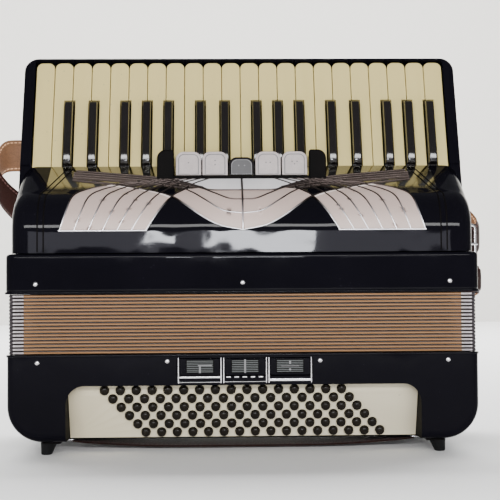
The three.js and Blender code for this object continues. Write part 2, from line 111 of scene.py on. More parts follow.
def on_board(a, b, c):
    """x, distance w up the button board from its upper edge, height m out of it."""
    y = BOARD_EDGE[0] - b * math.sin(BOARD_LEAN) - c * math.cos(BOARD_LEAN)
    z = BOARD_EDGE[1] + b * math.cos(BOARD_LEAN) - c * math.sin(BOARD_LEAN)
    return np.stack([a, y, z], -1)


def new_piece(name, points, faces, materials, smooth=40, uv=None, face_material=None):
    """A mesh object at the origin from millimetre points, its doubles merged and its normals turned out."""
    mesh = bpy.data.meshes.new(name)
    row = (np.asarray(points, float).reshape(-1, 3) + ORIGIN) * MM
    mesh.from_pydata(row.tolist(), [], [list(map(int, f)) for f in faces])
    for material in materials if isinstance(materials, list) else [materials]:
        mesh.materials.append(material)
    if uv is not None:
        layer = mesh.uv_layers.new(name="surface")
        corners = np.zeros(len(mesh.loops), np.int32)
        mesh.loops.foreach_get("vertex_index", corners)
        layer.data.foreach_set("uv", np.asarray(uv, np.float32).reshape(-1, 2)[corners].ravel())
    if face_material is not None:
        mesh.polygons.foreach_set("material_index", np.asarray(face_material, np.int32))
    work = bmesh.new()
    work.from_mesh(mesh)
    bmesh.ops.remove_doubles(work, verts=work.verts, dist=WELD)
    bmesh.ops.recalc_face_normals(work, faces=work.faces)
    work.to_mesh(mesh)
    work.free()
    mesh.shade_smooth()
    mesh.set_sharp_from_angle(angle=math.radians(smooth))
    piece = bpy.data.objects.new(name, mesh)
    bpy.context.scene.collection.objects.link(piece)
    return piece


def grid_faces(rows, cols, wrap_rows=False, wrap_cols=False):
    """Quads of a rows by cols grid of points, joined round where asked."""
    r = np.arange(rows if wrap_rows else rows - 1)
    c = np.arange(cols if wrap_cols else cols - 1)
    r, c = np.meshgrid(r, c, indexing="ij")
    r1, c1 = (r + 1) % rows, (c + 1) % cols
    return np.stack([r * cols + c, r * cols + c1, r1 * cols + c1, r1 * cols + c], -1).reshape(-1, 4)


def gathered(parts):
    """Several (points, faces) sets as one."""
    points, faces, start = [], [], 0
    for part_points, part_faces in parts:
        part_points = np.asarray(part_points, float).reshape(-1, 3)
        points.append(part_points)
        faces.extend([[int(i) + start for i in f] for f in part_faces])
        start += len(part_points)
    return np.concatenate(points), faces


def rounded(x0, y0, x1, y1, radii, steps=8):
    """A rectangle's outline, counter-clockwise, each corner a quarter circle of its own radius, in the order
    low-low, high-low, high-high, low-high."""
    corners = [(x0, y0, 1, 1, 180), (x1, y0, -1, 1, 270), (x1, y1, -1, -1, 0), (x0, y1, 1, -1, 90)]
    out = []
    for (x, y, sx, sy, start), r in zip(corners, radii):
        angle = np.radians(start + np.linspace(0, 90, steps + 1 if r else 1))
        out.append(np.stack([x + sx * r + r * np.cos(angle), y + sy * r + r * np.sin(angle)], -1))
    return np.concatenate(out)


def inset(outline, distance):
    """A counter-clockwise outline moved inwards by a distance, along the mitre at each corner."""
    ahead = np.roll(outline, -1, 0) - outline
    ahead /= np.linalg.norm(ahead, axis=1, keepdims=True) + 1e-12
    behind = np.roll(ahead, 1, 0)
    n1 = np.stack([-ahead[:, 1], ahead[:, 0]], -1)
    n2 = np.stack([-behind[:, 1], behind[:, 0]], -1)
    mitre = (n1 + n2) / (1 + np.sum(n1 * n2, 1, keepdims=True) + 1e-9)
    return outline + mitre * distance


def slab_parts(outline, low, high, edge, place, steps=3, top_edge=None):
    """A prism of an outline from low to high whose long edges are rounded: each ring of the quarter
    round is the outline inset by edge (1 - sin a), edge (1 - cos a) short of the end. A last narrow flat
    ring keeps the shading of each end face even."""
    outline = np.asarray(outline, float)
    top_edge = edge if top_edge is None else top_edge
    angles = np.linspace(0, math.pi / 2, steps + 1)
    rings = [(edge * (1 + FLAT_SHARE), low)]
    rings += [(edge * (1 - math.sin(a)), low + edge * (1 - math.cos(a))) for a in angles]
    rings += [(top_edge * (1 - math.sin(a)), high - top_edge * (1 - math.cos(a))) for a in angles[::-1]]
    rings.append((top_edge * (1 + FLAT_SHARE), high))
    count = len(outline)
    points = []
    for shrink, level in rings:
        ring = inset(outline, shrink)
        points.append(place(ring[:, 0], ring[:, 1], np.full(count, level)))
    faces = grid_faces(len(rings), count, wrap_cols=True).tolist()
    faces.append(list(range(count))[::-1])
    faces.append([(len(rings) - 1) * count + i for i in range(count)])
    return np.concatenate(points), faces


def slab(name, outline, low, high, edge, place, materials, steps=3):
    """One rounded prism as a piece of its own."""
    return new_piece(name, *slab_parts(outline, low, high, edge, place, steps), materials)


def block_parts(x0, b0, x1, b1, low, high, edge, place=along_y, radius=0.3, turns=2, steps=2):
    """A rounded block over the rectangle between two corners."""
    return slab_parts(rounded(x0, b0, x1, b1, (radius,) * 4, turns), low, high, edge, place, steps)


def turned_parts(profile, place, turns=24):
    """A profile of (radius, height) turned about an axis; place maps (across, along, height)."""
    profile = np.asarray(profile, float)
    angle = np.linspace(0, 2 * math.pi, turns, endpoint=False)
    radius = np.maximum(profile[:, :1], 1e-4)
    a = radius * np.cos(angle)
    b = radius * np.sin(angle)
    c = np.repeat(profile[:, 1:], turns, 1)
    points = place(a, b, c).reshape(-1, 3)
    faces = grid_faces(len(profile), turns, wrap_cols=True).tolist()
    faces.append(list(range(turns))[::-1])
    faces.append([(len(profile) - 1) * turns + i for i in range(turns)])
    return points, faces


def swept_parts(path, across, up, section, closed=False):
    """A section of (across, up) carried along path points, with its ends closed unless the path is."""
    path, across, up = (np.asarray(v, float) for v in (path, across, up))
    section = np.asarray(section, float)
    points = path[:, None] + across[:, None] * section[None, :, :1] + up[:, None] * section[None, :, 1:]
    count = len(section)
    faces = grid_faces(len(path), count, wrap_rows=closed, wrap_cols=True).tolist()
    if not closed:
        faces.append(list(range(count))[::-1])
        faces.append([(len(path) - 1) * count + i for i in range(count)])
    return points.reshape(-1, 3), faces


def spline(points, count):
    """A smooth curve through given points: Catmull-Rom, evenly sampled in its parameter."""
    p = np.asarray(points, float)
    p = np.concatenate([[2 * p[0] - p[1]], p, [2 * p[-1] - p[-2]]])
    t = np.linspace(0, len(p) - 3 - 1e-9, count)
    i = t.astype(int)
    f = (t - i)[:, None]
    a, b, c, d = p[i], p[i + 1], p[i + 2], p[i + 3]
    square = 2 * a - 5 * b + 4 * c - d
    cube = 3 * b - a - 3 * c + d
    return 0.5 * (2 * b + (c - a) * f + square * f ** 2 + cube * f ** 3)


def unit(vectors):
    return vectors / (np.linalg.norm(vectors, axis=-1, keepdims=True) + 1e-12)


def made_final(piece, modifier):
    """Applies a modifier and marks the edges that it made sharp."""
    bpy.context.view_layer.objects.active = piece
    bpy.ops.object.modifier_apply(modifier=modifier.name)
    piece.data.shade_smooth()
    piece.data.set_sharp_from_angle(angle=math.radians(CUT_ANGLE))


def cut_away(piece, cutter):
    """Takes the cutter's volume out of the piece; the cut faces keep the cutter's material."""
    modifier = piece.modifiers.new("cut", "BOOLEAN")
    modifier.operation = "DIFFERENCE"
    modifier.solver = "EXACT"
    modifier.material_mode = "TRANSFER"
    modifier.object = cutter
    made_final(piece, modifier)
    bpy.data.objects.remove(cutter)


def carve(piece, outline, low, high, place, material=None):
    """Cuts the prism of an outline out of a piece."""
    cut_away(piece, slab("carver", outline, low, high, KNIFE_EDGE, place, material or BLACK, steps=1))


def settle(piece, body, slot, *nodes):
    """The piece rides on a body and stands for CAD nodes, which it hides. The slot is not used."""
    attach(piece, body)
    if nodes:
        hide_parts(*nodes)
    return piece


def joined(name, parts, material, body, slot, *nodes, smooth=40):
    """Several parts as one settled piece."""
    return settle(new_piece(name, *gathered(parts), material, smooth=smooth), body, slot, *nodes)


# ---------------------------------------------------------------- shared effects
def effect_group(name, inputs, outputs):
    """An empty node group with named inputs, given as (name, kind, default), and named outputs."""
    group = bpy.data.node_groups.new(name, "ShaderNodeTree")
    for label, kind, default in inputs:
        socket = group.interface.new_socket(name=label, in_out="INPUT", socket_type=kind)
        if default is not None:
            socket.default_value = default
    for label, kind in outputs:
        group.interface.new_socket(name=label, in_out="OUTPUT", socket_type=kind)
    return group, group.nodes.new("NodeGroupInput"), group.nodes.new("NodeGroupOutput")


def math_node(tree, operation, a, b=None, clamp=False):
    node = tree.nodes.new("ShaderNodeMath")
    node.operation = operation
    node.use_clamp = clamp
    for index, value in enumerate((a, b)):
        if value is None:
            continue
        if isinstance(value, (int, float)):
            node.inputs[index].default_value = value
        else:
            tree.links.new(value, node.inputs[index])
    return node.outputs[0]


def axis_of(tree, vector, letter):
    node = tree.nodes.new("ShaderNodeSeparateXYZ")
    tree.links.new(vector, node.inputs[0])
    return node.outputs[letter]


def noise_node(tree, vector, scale, detail=3.0, roughness=0.5, stretch=None):
    if stretch is not None:
        mapping = tree.nodes.new("ShaderNodeMapping")
        mapping.inputs["Scale"].default_value = stretch
        tree.links.new(vector, mapping.inputs["Vector"])
        vector = mapping.outputs[0]
    node = tree.nodes.new("ShaderNodeTexNoise")
    node.inputs["Detail"].default_value = detail
    node.inputs["Roughness"].default_value = roughness
    if isinstance(scale, (int, float)):
        node.inputs["Scale"].default_value = scale
    else:
        tree.links.new(scale, node.inputs["Scale"])
    tree.links.new(vector, node.inputs["Vector"])
    return node.outputs["Fac"]


def ramp_node(tree, value, low, high):
    """0 below low, 1 above high, even between."""
    node = tree.nodes.new("ShaderNodeMapRange")
    node.inputs["From Min"].default_value = low
    node.inputs["From Max"].default_value = high
    tree.links.new(value, node.inputs["Value"])
    return node.outputs[0]


VECTOR_INPUT = ("Vector", "NodeSocketVector", None)


def mottling_group():
    """Broad blotches, fine grain and scattered specks of dust, and a height made of them."""
    group, source, result = effect_group(
        "mottling", [VECTOR_INPUT, ("Size", "NodeSocketFloat", 30.0)],
        [(label, "NodeSocketFloat") for label in ("Broad", "Fine", "Speck", "Height")])
    vector, size = source.outputs["Vector"], source.outputs["Size"]
    broad = noise_node(group, vector, size, 3.0)
    fine = noise_node(group, vector, math_node(group, "MULTIPLY", size, 22.0), 5.0, 0.6)
    cells = group.nodes.new("ShaderNodeTexVoronoi")
    group.links.new(vector, cells.inputs["Vector"])
    group.links.new(math_node(group, "MULTIPLY", size, 12.0), cells.inputs["Scale"])
    near = ramp_node(group, cells.outputs["Distance"], 0.10, 0.03)
    speck = math_node(group, "MULTIPLY", near, ramp_node(group, broad, 0.5, 0.62), True)
    height = math_node(group, "ADD", math_node(group, "MULTIPLY", fine, 0.5), broad)
    for label, value in (("Broad", broad), ("Fine", fine), ("Speck", speck), ("Height", height)):
        group.links.new(value, result.inputs[label])
    return group


def waves_group():
    """The slow waviness of a polished panel, as a height."""
    group, source, result = effect_group("waves", [VECTOR_INPUT, ("Size", "NodeSocketFloat", 26.0)],
                                         [("Height", "NodeSocketFloat")])
    wave = noise_node(group, source.outputs["Vector"], source.outputs["Size"], 1.0)
    group.links.new(wave, result.inputs["Height"])
    return group


def scratches_group():
    """Fine parallel scratches: noise drawn out along the axes where the stretch is small."""
    group, source, result = effect_group("scratches", [VECTOR_INPUT, ("Stretch", "NodeSocketVector", None)],
                                         [("Lines", "NodeSocketFloat")])
    drawn = group.nodes.new("ShaderNodeVectorMath")
    drawn.operation = "MULTIPLY"
    group.links.new(source.outputs["Vector"], drawn.inputs[0])
    group.links.new(source.outputs["Stretch"], drawn.inputs[1])
    group.links.new(noise_node(group, drawn.outputs[0], 400.0, 4.0, 0.7), result.inputs["Lines"])
    return group


def pleats_group():
    """How far a point of the bellows is from the crest of its fold, 0 at the crest and 0.5 in the valley."""
    group, source, result = effect_group("pleats", [VECTOR_INPUT], [("Ridge", "NodeSocketFloat")])
    share = math_node(group, "FRACT", axis_of(group, source.outputs["Vector"], "Y"))
    ridge = math_node(group, "ABSOLUTE", math_node(group, "SUBTRACT", share, 0.5))
    group.links.new(ridge, result.inputs["Ridge"])
    return group


def stitches_group():
    """A dashed row of thread along each edge of a band: x counts stitches, y runs across the band."""
    group, source, result = effect_group("stitches", [VECTOR_INPUT],
                                         [("Thread", "NodeSocketFloat"), ("Height", "NodeSocketFloat")])
    across = axis_of(group, source.outputs["Vector"], "Y")
    rim = math_node(group, "ABSOLUTE", math_node(group, "SUBTRACT", across, 0.5))
    line = math_node(group, "ABSOLUTE", math_node(group, "SUBTRACT", rim, 0.41))
    dash = math_node(group, "FRACT", axis_of(group, source.outputs["Vector"], "X"))
    row = ramp_node(group, line, 0.022, 0.012)
    thread = math_node(group, "MULTIPLY", row, math_node(group, "LESS_THAN", dash, 0.68))
    group.links.new(thread, result.inputs["Thread"])
    group.links.new(math_node(group, "MULTIPLY", thread, 2.5), result.inputs["Height"])
    return group


def hide_group():
    """Leather: a net of creases between pebbles, with fine pores."""
    group, source, result = effect_group("hide", [VECTOR_INPUT, ("Size", "NodeSocketFloat", 900.0)],
                                         [("Crease", "NodeSocketFloat"), ("Height", "NodeSocketFloat")])
    vector, size = source.outputs["Vector"], source.outputs["Size"]
    cells = group.nodes.new("ShaderNodeTexVoronoi")
    cells.feature = "DISTANCE_TO_EDGE"
    group.links.new(vector, cells.inputs["Vector"])
    group.links.new(size, cells.inputs["Scale"])
    crease = ramp_node(group, cells.outputs["Distance"], 0.16, 0.0)
    pores = noise_node(group, vector, math_node(group, "MULTIPLY", size, 2.5), 3.0)
    height = math_node(group, "SUBTRACT", math_node(group, "MULTIPLY", pores, 0.3), crease)
    group.links.new(crease, result.inputs["Crease"])
    group.links.new(height, result.inputs["Height"])
    return group


def weave_group():
    """Cloth: two sets of threads across each other, over and under."""
    group, source, result = effect_group("weave", [VECTOR_INPUT], [("Thread", "NodeSocketFloat")])
    waves = []
    for letter in ("X", "Y"):
        turns = axis_of(group, source.outputs["Vector"], letter)
        waves.append(math_node(group, "SINE", math_node(group, "MULTIPLY", turns, 2 * math.pi)))
    product = math_node(group, "MULTIPLY", waves[0], waves[1])
    thread = math_node(group, "ADD", math_node(group, "MULTIPLY", product, 0.5), 0.5, True)
    group.links.new(thread, result.inputs["Thread"])
    return group


MOTTLING = mottling_group()
HIDE = hide_group()
WEAVE = weave_group()
WAVES = waves_group()
SCRATCHES = scratches_group()
PLEATS = pleats_group()
STITCHES = stitches_group()


# ---------------------------------------------------------------- finishes
class Finish:
    """One material being made: its tree, its shader and the coordinates it reads."""

    def __init__(self, name, metallic=0.0, coat=0.0, sheen=0.0, gloss=0.5):
        self.material = bpy.data.materials.new(name)
        self.material.use_nodes = True
        self.tree = self.material.node_tree
        self.shader = self.tree.nodes["Principled BSDF"]
        self.shader.inputs["Metallic"].default_value = metallic
        self.shader.inputs["Coat Weight"].default_value = coat
        self.shader.inputs["Coat Roughness"].default_value = 0.04
        self.shader.inputs["Sheen Weight"].default_value = sheen
        self.shader.inputs["Specular IOR Level"].default_value = gloss
        self.normal = None
        coordinates = self.tree.nodes.new("ShaderNodeTexCoord")
        self.place = coordinates.outputs["Object"]
        self.surface = coordinates.outputs["UV"]

    def effect(self, group, vector=None, **values):
        node = self.tree.nodes.new("ShaderNodeGroup")
        node.node_tree = group
        self.tree.links.new(self.place if vector is None else vector, node.inputs["Vector"])
        for label, value in values.items():
            node.inputs[label].default_value = value
        return node.outputs

    def mix(self, fac, a, b):
        node = self.tree.nodes.new("ShaderNodeMix")
        node.data_type = "RGBA"
        self.tree.links.new(fac, node.inputs["Factor"])
        for socket, value in ((node.inputs[6], a), (node.inputs[7], b)):
            if isinstance(value, tuple):
                socket.default_value = (*value, 1.0)
            else:
                self.tree.links.new(value, socket)
        return node.outputs[2]

    def colour(self, value):
        self.tree.links.new(value, self.shader.inputs["Base Color"])

    def rough(self, fac, low, high):
        node = self.tree.nodes.new("ShaderNodeMapRange")
        node.inputs["To Min"].default_value = low
        node.inputs["To Max"].default_value = high
        self.tree.links.new(fac, node.inputs["Value"])
        self.tree.links.new(node.outputs[0], self.shader.inputs["Roughness"])

    def bump(self, height, strength, distance=0.0002):
        node = self.tree.nodes.new("ShaderNodeBump")
        node.inputs["Strength"].default_value = strength
        node.inputs["Distance"].default_value = distance
        self.tree.links.new(height, node.inputs["Height"])
        if self.normal is not None:
            self.tree.links.new(self.normal, node.inputs["Normal"])
        self.normal = node.outputs[0]
        self.tree.links.new(self.normal, self.shader.inputs["Normal"])

    def surfaced(self, marks, rough, bump):
        """The last step: roughness from the fine grain and a bump from the mottling."""
        self.rough(marks["Fine"], *rough)
        self.bump(marks["Height"], bump)
        return self.material


def mottled(name, deep, light, rough, size=30.0, bump=0.06, speck=None, **shader):
    """A moulded, lacquered or plated finish: two close colours in blotches, specks of dust, fine grain."""
    made = Finish(name, **shader)
    marks = made.effect(MOTTLING, Size=size)
    colour = made.mix(marks["Broad"], deep, light)
    if speck:
        colour = made.mix(marks["Speck"], colour, speck)
    made.colour(colour)
    return made.surfaced(marks, rough, bump)


def lacquer(name, deep=(0.0022, 0.0020, 0.0034), light=(0.0042, 0.0038, 0.0062), rough=(0.02, 0.05),
            gloss=0.08,
            metallic=0.0, wave=0.0004):
    """Polished celluloid over wood: nearly black, a little wavy, with faint dust and polishing marks."""
    made = Finish(name, gloss=gloss, metallic=metallic)
    marks = made.effect(MOTTLING, Size=14.0)
    colour = made.mix(marks["Broad"], deep, light)
    made.colour(made.mix(marks["Speck"], colour, tuple(3 * v + 0.01 for v in light)))
    made.bump(made.effect(WAVES, Size=26.0)["Height"], 1.0, wave)
    return made.surfaced(marks, rough, 0.03)


def rib_finish():
    """Polished nickel low on the cover; higher up the ribs turn dark as a painted reflection of the dark
    surroundings that the upper ribs mirror.
    """
    made = Finish("rib_nickel", metallic=1.0)
    marks = made.effect(MOTTLING, Size=60.0)
    uneven = math_node(made.tree, "MULTIPLY", marks["Broad"], 0.012)
    height = math_node(made.tree, "ADD", axis_of(made.tree, made.place, "Z"), uneven)
    bright = made.mix(marks["Broad"], (0.66, 0.64, 0.66), (0.88, 0.86, 0.88))
    # painted reflection: the dark colour the upper ribs take on, standing in for the dark room they mirror
    painted_dark_reflection = made.mix(marks["Broad"], (0.060, 0.044, 0.040), (0.105, 0.085, 0.078))
    made.colour(made.mix(ramp_node(made.tree, height, 0.244, 0.260), bright, painted_dark_reflection))
    return made.surfaced(marks, (0.26, 0.34), 0.006)


def brushed(name, deep, light, rough, stretch, metallic=1.0):
    """Metal with fine parallel scratches along one axis."""
    made = Finish(name, metallic=metallic)
    lines = made.effect(SCRATCHES, Stretch=stretch)["Lines"]
    marks = made.effect(MOTTLING, Size=35.0)
    colour = made.mix(lines, deep, light)
    made.colour(made.mix(marks["Speck"], colour, (0.20, 0.18, 0.17)))
    made.rough(lines, *rough)
    made.bump(lines, 0.12, 0.0001)
    return made.material


def ivory_finish():
    """Old cream celluloid: long faint streaks along the keys, warmer in blotches, with handling grime."""
    made = Finish("key_cream", gloss=0.35)
    streaks = noise_node(made.tree, made.place, 140.0, 3.0, 0.55, (1.0, 0.12, 0.06))
    marks = made.effect(MOTTLING, Size=9.0)
    base = made.mix(streaks, (0.565, 0.475, 0.185), (0.65, 0.555, 0.235))
    warm = made.mix(marks["Broad"], base, (0.615, 0.49, 0.205))
    made.colour(made.mix(marks["Speck"], warm, (0.34, 0.28, 0.17)))
    return made.surfaced(marks, (0.24, 0.36), 0.05)


def pearl_finish():
    """Pearl celluloid: soft swirling pale patches."""
    made = Finish("pearl_grey", coat=0.2)
    swirl = noise_node(made.tree, made.place, 90.0, 5.0, 0.65)
    made.colour(made.mix(swirl, (0.31, 0.265, 0.257), (0.48, 0.42, 0.407)))
    return made.surfaced(made.effect(MOTTLING, Size=60.0), (0.22, 0.34), 0.05)


def cloth_finish():
    """Grille cloth: pinkish cream with a fine slanting weave."""
    made = Finish("grille_cream")
    thread = made.effect(WEAVE, made.surface)["Thread"]
    marks = made.effect(MOTTLING, Size=18.0)
    base = made.mix(marks["Broad"], (0.49, 0.37, 0.325), (0.60, 0.475, 0.425))
    made.colour(made.mix(thread, base, (0.42, 0.32, 0.28)))
    made.rough(marks["Fine"], 0.34, 0.5)
    made.bump(thread, 0.25)
    return made.material


def tape_finish():
    """Bellows tape on the ridges, with a painted highlight along each crest and painted shade darkening the
    valleys; u is the distance round, v counts folds.
    """
    made = Finish("bellows_tape", sheen=0.2)
    ridge = made.effect(PLEATS, made.surface)["Ridge"]
    threads = noise_node(made.tree, made.surface, 420.0, 3.0, 0.7, (2.0, 0.02, 1.0))
    marks = made.effect(MOTTLING, Size=16.0)
    gold = made.mix(threads, (0.115, 0.046, 0.010), (0.195, 0.086, 0.025))
    worn = made.mix(marks["Broad"], gold, (0.165, 0.078, 0.018))
    # painted highlight: a lighter colour along the top of each fold
    crest = made.mix(ramp_node(made.tree, ridge, 0.15, 0.06), worn, (0.28, 0.130, 0.044))
    # painted shade: nearly black deep in each valley between the folds
    made.colour(made.mix(ramp_node(made.tree, ridge, 0.33, 0.43), crest, (0.070, 0.027, 0.010)))
    made.rough(marks["Fine"], 0.42, 0.66)
    made.bump(threads, 0.3, 0.0003)
    return made.material


def corner_finish():
    """Tinned corner pieces on each ridge, with painted shade darkening the valleys between."""
    made = Finish("corner_metal", metallic=0.35)
    ridge = made.effect(PLEATS, made.surface)["Ridge"]
    marks = made.effect(MOTTLING, Size=120.0)
    metal = made.mix(marks["Broad"], (0.42, 0.38, 0.39), (0.68, 0.63, 0.64))
    stained = made.mix(marks["Speck"], metal, (0.20, 0.15, 0.13))
    # painted shade: near black where the fold turns in between the ridges
    made.colour(made.mix(ramp_node(made.tree, ridge, 0.20, 0.30), stained, (0.030, 0.022, 0.022)))
    return made.surfaced(marks, (0.3, 0.5), 0.1)


def leather_finish(name, deep, light, rough, stitches=False, size=900.0, gloss=0.4):
    """Grained hide, darker in its creases; sewn bands carry a row of stitches along each edge."""
    made = Finish(name, sheen=0.03, gloss=gloss)
    grain = made.effect(HIDE, Size=size)
    marks = made.effect(MOTTLING, Size=22.0)
    base = made.mix(marks["Broad"], deep, light)
    colour = made.mix(grain["Crease"], base, tuple(0.45 * v for v in deep))
    height = grain["Height"]
    if stitches:
        sewn = made.effect(STITCHES, made.surface)
        colour = made.mix(sewn["Thread"], colour, tuple(min(1.0, 2.6 * v + 0.05) for v in light))
        height = math_node(made.tree, "ADD", height, sewn["Height"])
    made.colour(colour)
    made.rough(marks["Fine"], *rough)
    made.bump(height, 0.35, 0.0004)
    return made.material


def wood_finish():
    """Spruce: long dark and light bands with fine pores along the board."""
    made = Finish("reed_spruce")
    bands = noise_node(made.tree, made.place, 160.0, 3.0, 0.6, (0.05, 1.0, 1.0))
    marks = made.effect(MOTTLING, Size=40.0)
    made.colour(made.mix(bands, (0.36, 0.20, 0.09), (0.62, 0.42, 0.22)))
    made.rough(marks["Fine"], 0.55, 0.75)
    made.bump(bands, 0.2, 0.0003)
    return made.material


BLACK = lacquer("black_celluloid")
BASS_BLACK = lacquer("bass_celluloid", gloss=0.03)
LEDGE_BLACK = lacquer("ledge_polish", (0.30, 0.295, 0.27), (0.38, 0.37, 0.34), (0.05, 0.10), 0.5, 1.0,
                      0.00003)
EBONY = mottled("key_black", (0.005, 0.004, 0.004), (0.010, 0.008, 0.008), (0.07, 0.13), 40.0, 0.03,
                (0.05, 0.045, 0.04), gloss=0.4)
CREAM = ivory_finish()
PEARL = pearl_finish()
DARK_TAB = mottled("tab_graphite", (0.030, 0.029, 0.031), (0.055, 0.053, 0.056), (0.28, 0.42), 60.0, 0.08)
MATTE_BLACK = mottled("flat_black", (0.002, 0.002, 0.002), (0.005, 0.004, 0.004), (0.5, 0.7), 60.0, 0.15,
                      gloss=0.03)
NICKEL = mottled("nickel", (0.60, 0.585, 0.60), (0.80, 0.785, 0.80), (0.16, 0.30), 60.0, 0.05,
                 (0.30, 0.27, 0.25), metallic=1.0)
BRUSHED = brushed("brushed_plate", (0.80, 0.775, 0.78), (0.97, 0.945, 0.95), (0.34, 0.48),
                  (0.02, 1.0, 1.0), 0.25)
STEEL = brushed("drawn_steel", (0.42, 0.42, 0.43), (0.66, 0.66, 0.67), (0.25, 0.4), (0.03, 1.0, 1.0))
RIB_NICKEL = rib_finish()
# painted highlight: the lighter cream at the end of each cloth strip stands for the light it catches there
STRIP_END_HIGHLIGHT = mottled("strip_end_highlight", (0.68, 0.58, 0.53), (0.80, 0.72, 0.68), (0.3, 0.45), 60.0, 0.05)
CLOTH = cloth_finish()
TAPE = tape_finish()
CORNER_METAL = corner_finish()
CORNER_HIDE = leather_finish("corner_hide", (0.030, 0.024, 0.027), (0.055, 0.045, 0.050), (0.55, 0.7),
                             size=1400.0, gloss=0.2)
DARK_HIDE = leather_finish("strap_dark", (0.018, 0.005, 0.003), (0.042, 0.012, 0.008), (0.3, 0.48), True,
                           gloss=0.1)
TAN_HIDE = leather_finish("strap_tan", (0.235, 0.105, 0.045), (0.40, 0.205, 0.105), (0.42, 0.62), True)
IVORY = mottled("board_ivory", (0.57, 0.485, 0.31), (0.66, 0.61, 0.47), (0.3, 0.44), 4.0, 0.05,
                (0.30, 0.27, 0.2))
BUTTON = mottled("button_black", (0.005, 0.004, 0.003), (0.014, 0.011, 0.008), (0.16, 0.28), 90.0, 0.06,
                 (0.10, 0.09, 0.07), gloss=0.14)
RUBBER = mottled("foot_rubber", (0.004, 0.004, 0.004), (0.008, 0.008, 0.009), (0.45, 0.65), 80.0, 0.25,
                 gloss=0.1)
FELT = mottled("red_felt", (0.16, 0.012, 0.014), (0.26, 0.03, 0.03), (0.8, 0.95), 200.0, 0.6, sheen=0.6)
SPRUCE = wood_finish()
MARK_GREY = mottled("mark_grey", (0.11, 0.11, 0.112), (0.17, 0.165, 0.17), (0.35, 0.5), 90.0, 0.05)
LINE_GREY = mottled("line_grey", (0.040, 0.045, 0.045), (0.075, 0.082, 0.080), (0.4, 0.55), 90.0, 0.05)


# ---------------------------------------------------------------- camera
CAMERA_PLACE = np.array([-23.73, -1166.11, 166.23])
CAMERA_TURN = (1.50, -1.78, -0.39)
SENSOR = 36.0
FOCAL_SHARE = 2.3528


def studio_camera():
    """The camera stands about 1.2 m in front, a little low, looking slightly up."""
    yaw, pitch, roll = (math.radians(v) for v in CAMERA_TURN)
    ahead = np.array([math.sin(yaw) * math.cos(pitch), math.cos(yaw) * math.cos(pitch), -math.sin(pitch)])
    level = np.array([math.cos(yaw), -math.sin(yaw), 0.0])
    above = np.cross(level, ahead)
    right = math.cos(roll) * level + math.sin(roll) * above
    up = -math.sin(roll) * level + math.cos(roll) * above
    data = bpy.data.cameras.new("camera")
    data.sensor_width = SENSOR
    data.lens = SENSOR * FOCAL_SHARE
    camera = bpy.data.objects.new("camera", data)
    turn = Matrix([[right[i], up[i], -ahead[i]] for i in range(3)]).to_4x4()
    camera.matrix_world = Matrix.Translation((CAMERA_PLACE + ORIGIN) * MM) @ turn
    bpy.context.scene.collection.objects.link(camera)
    bpy.context.scene.camera = camera


studio_camera()


# ---------------------------------------------------------------- keys
NATURALS = "FEDCBAG"
BLACK_AFTER = {"E": -3.0, "D": 3.0, "B": -3.0, "A": 0.0, "G": 3.0}
WHITE_COUNT = 22
KEY_PITCH = 20.0
KEY_GAP = 0.7
KEY_TAIL = 18.0
WHITE_LENGTH = 123.5
WHITE_NOSE = 6.6
WHITE_THICK = 14.6
PLATE_THICK = 4.0
PLATE_OVERHANG = 0.5
BLACK_LENGTH = 77.0
BLACK_HALF = 5.0
BLACK_RISE = 10.0
BLACK_TAPER = 1.1
BLACK_SOFT = 1.3
BLACK_SKIRT = -3.0
SIDE_ROOM = 0.9
END_ROOM = 2.0
# a black key's side view: distance from the roots, height above the white keys
BLACK_SIDE = np.array([[-KEY_TAIL, -1.2], [2.9, -0.8], [3.1, 4.9], [3.5, 6.4], [4.4, 7.0], [7.0, 7.8],
                       [10.0, 8.7], [12.0, 9.2], [14.0, 9.65], [17.0, BLACK_RISE], [45.0, BLACK_RISE],
                       [69.0, BLACK_RISE], [71.2, 9.6], [73.2, 8.3], [75.4, 3.5],
                       [BLACK_LENGTH - 0.2, -2.0]])


def joint_x(index):
    return (index - WHITE_COUNT / 2) * KEY_PITCH


BLACK_X = {i: joint_x(i + 1) + BLACK_AFTER[NATURALS[i % 7]]
           for i in range(WHITE_COUNT - 1) if NATURALS[i % 7] in BLACK_AFTER}


def white_outline(index):
    """The natural's outline in (x, u), counter-clockwise, cut back beside black keys, its nose rounded."""
    left, right = joint_x(index) + KEY_GAP / 2, joint_x(index + 1) - KEY_GAP / 2
    cut = BLACK_HALF + SIDE_ROOM
    low_left = BLACK_X[index - 1] + cut if index - 1 in BLACK_X else left
    low_right = BLACK_X[index] - cut if index in BLACK_X else right
    shoulder = BLACK_LENGTH + END_ROOM
    angle = np.radians(np.linspace(0, 90, 9))
    sweep, rise = WHITE_NOSE * (1 - np.cos(angle)), WHITE_LENGTH - WHITE_NOSE * (1 - np.sin(angle))
    out = [[low_left, -KEY_TAIL], [low_right, -KEY_TAIL]]
    if index in BLACK_X:
        out += [[low_right, shoulder], [right, shoulder]]
    out += [[right - a, b] for a, b in zip(sweep, rise)]
    out += [[left + a, b] for a, b in zip(sweep[::-1], rise[::-1])]
    if index - 1 in BLACK_X:
        out += [[left, shoulder], [low_left, shoulder]]
    return np.array(out)


def white_key(index):
    """A cream top plate with rounded edges that overhangs a slightly narrower body."""
    outline = white_outline(index)
    plate = slab_parts(outline, -PLATE_THICK, 0.0, 0.3, on_keyboard, 3, 0.7)
    body = slab_parts(inset(outline, PLATE_OVERHANG), -WHITE_THICK, -PLATE_THICK, 0.3, on_keyboard, 1)
    number = f"{index + 1:02d}"
    joined(f"white_key_{number}", [plate, body], CREAM, f"key_white_{number}", "key_ivory",
           f"key_white_{number}")


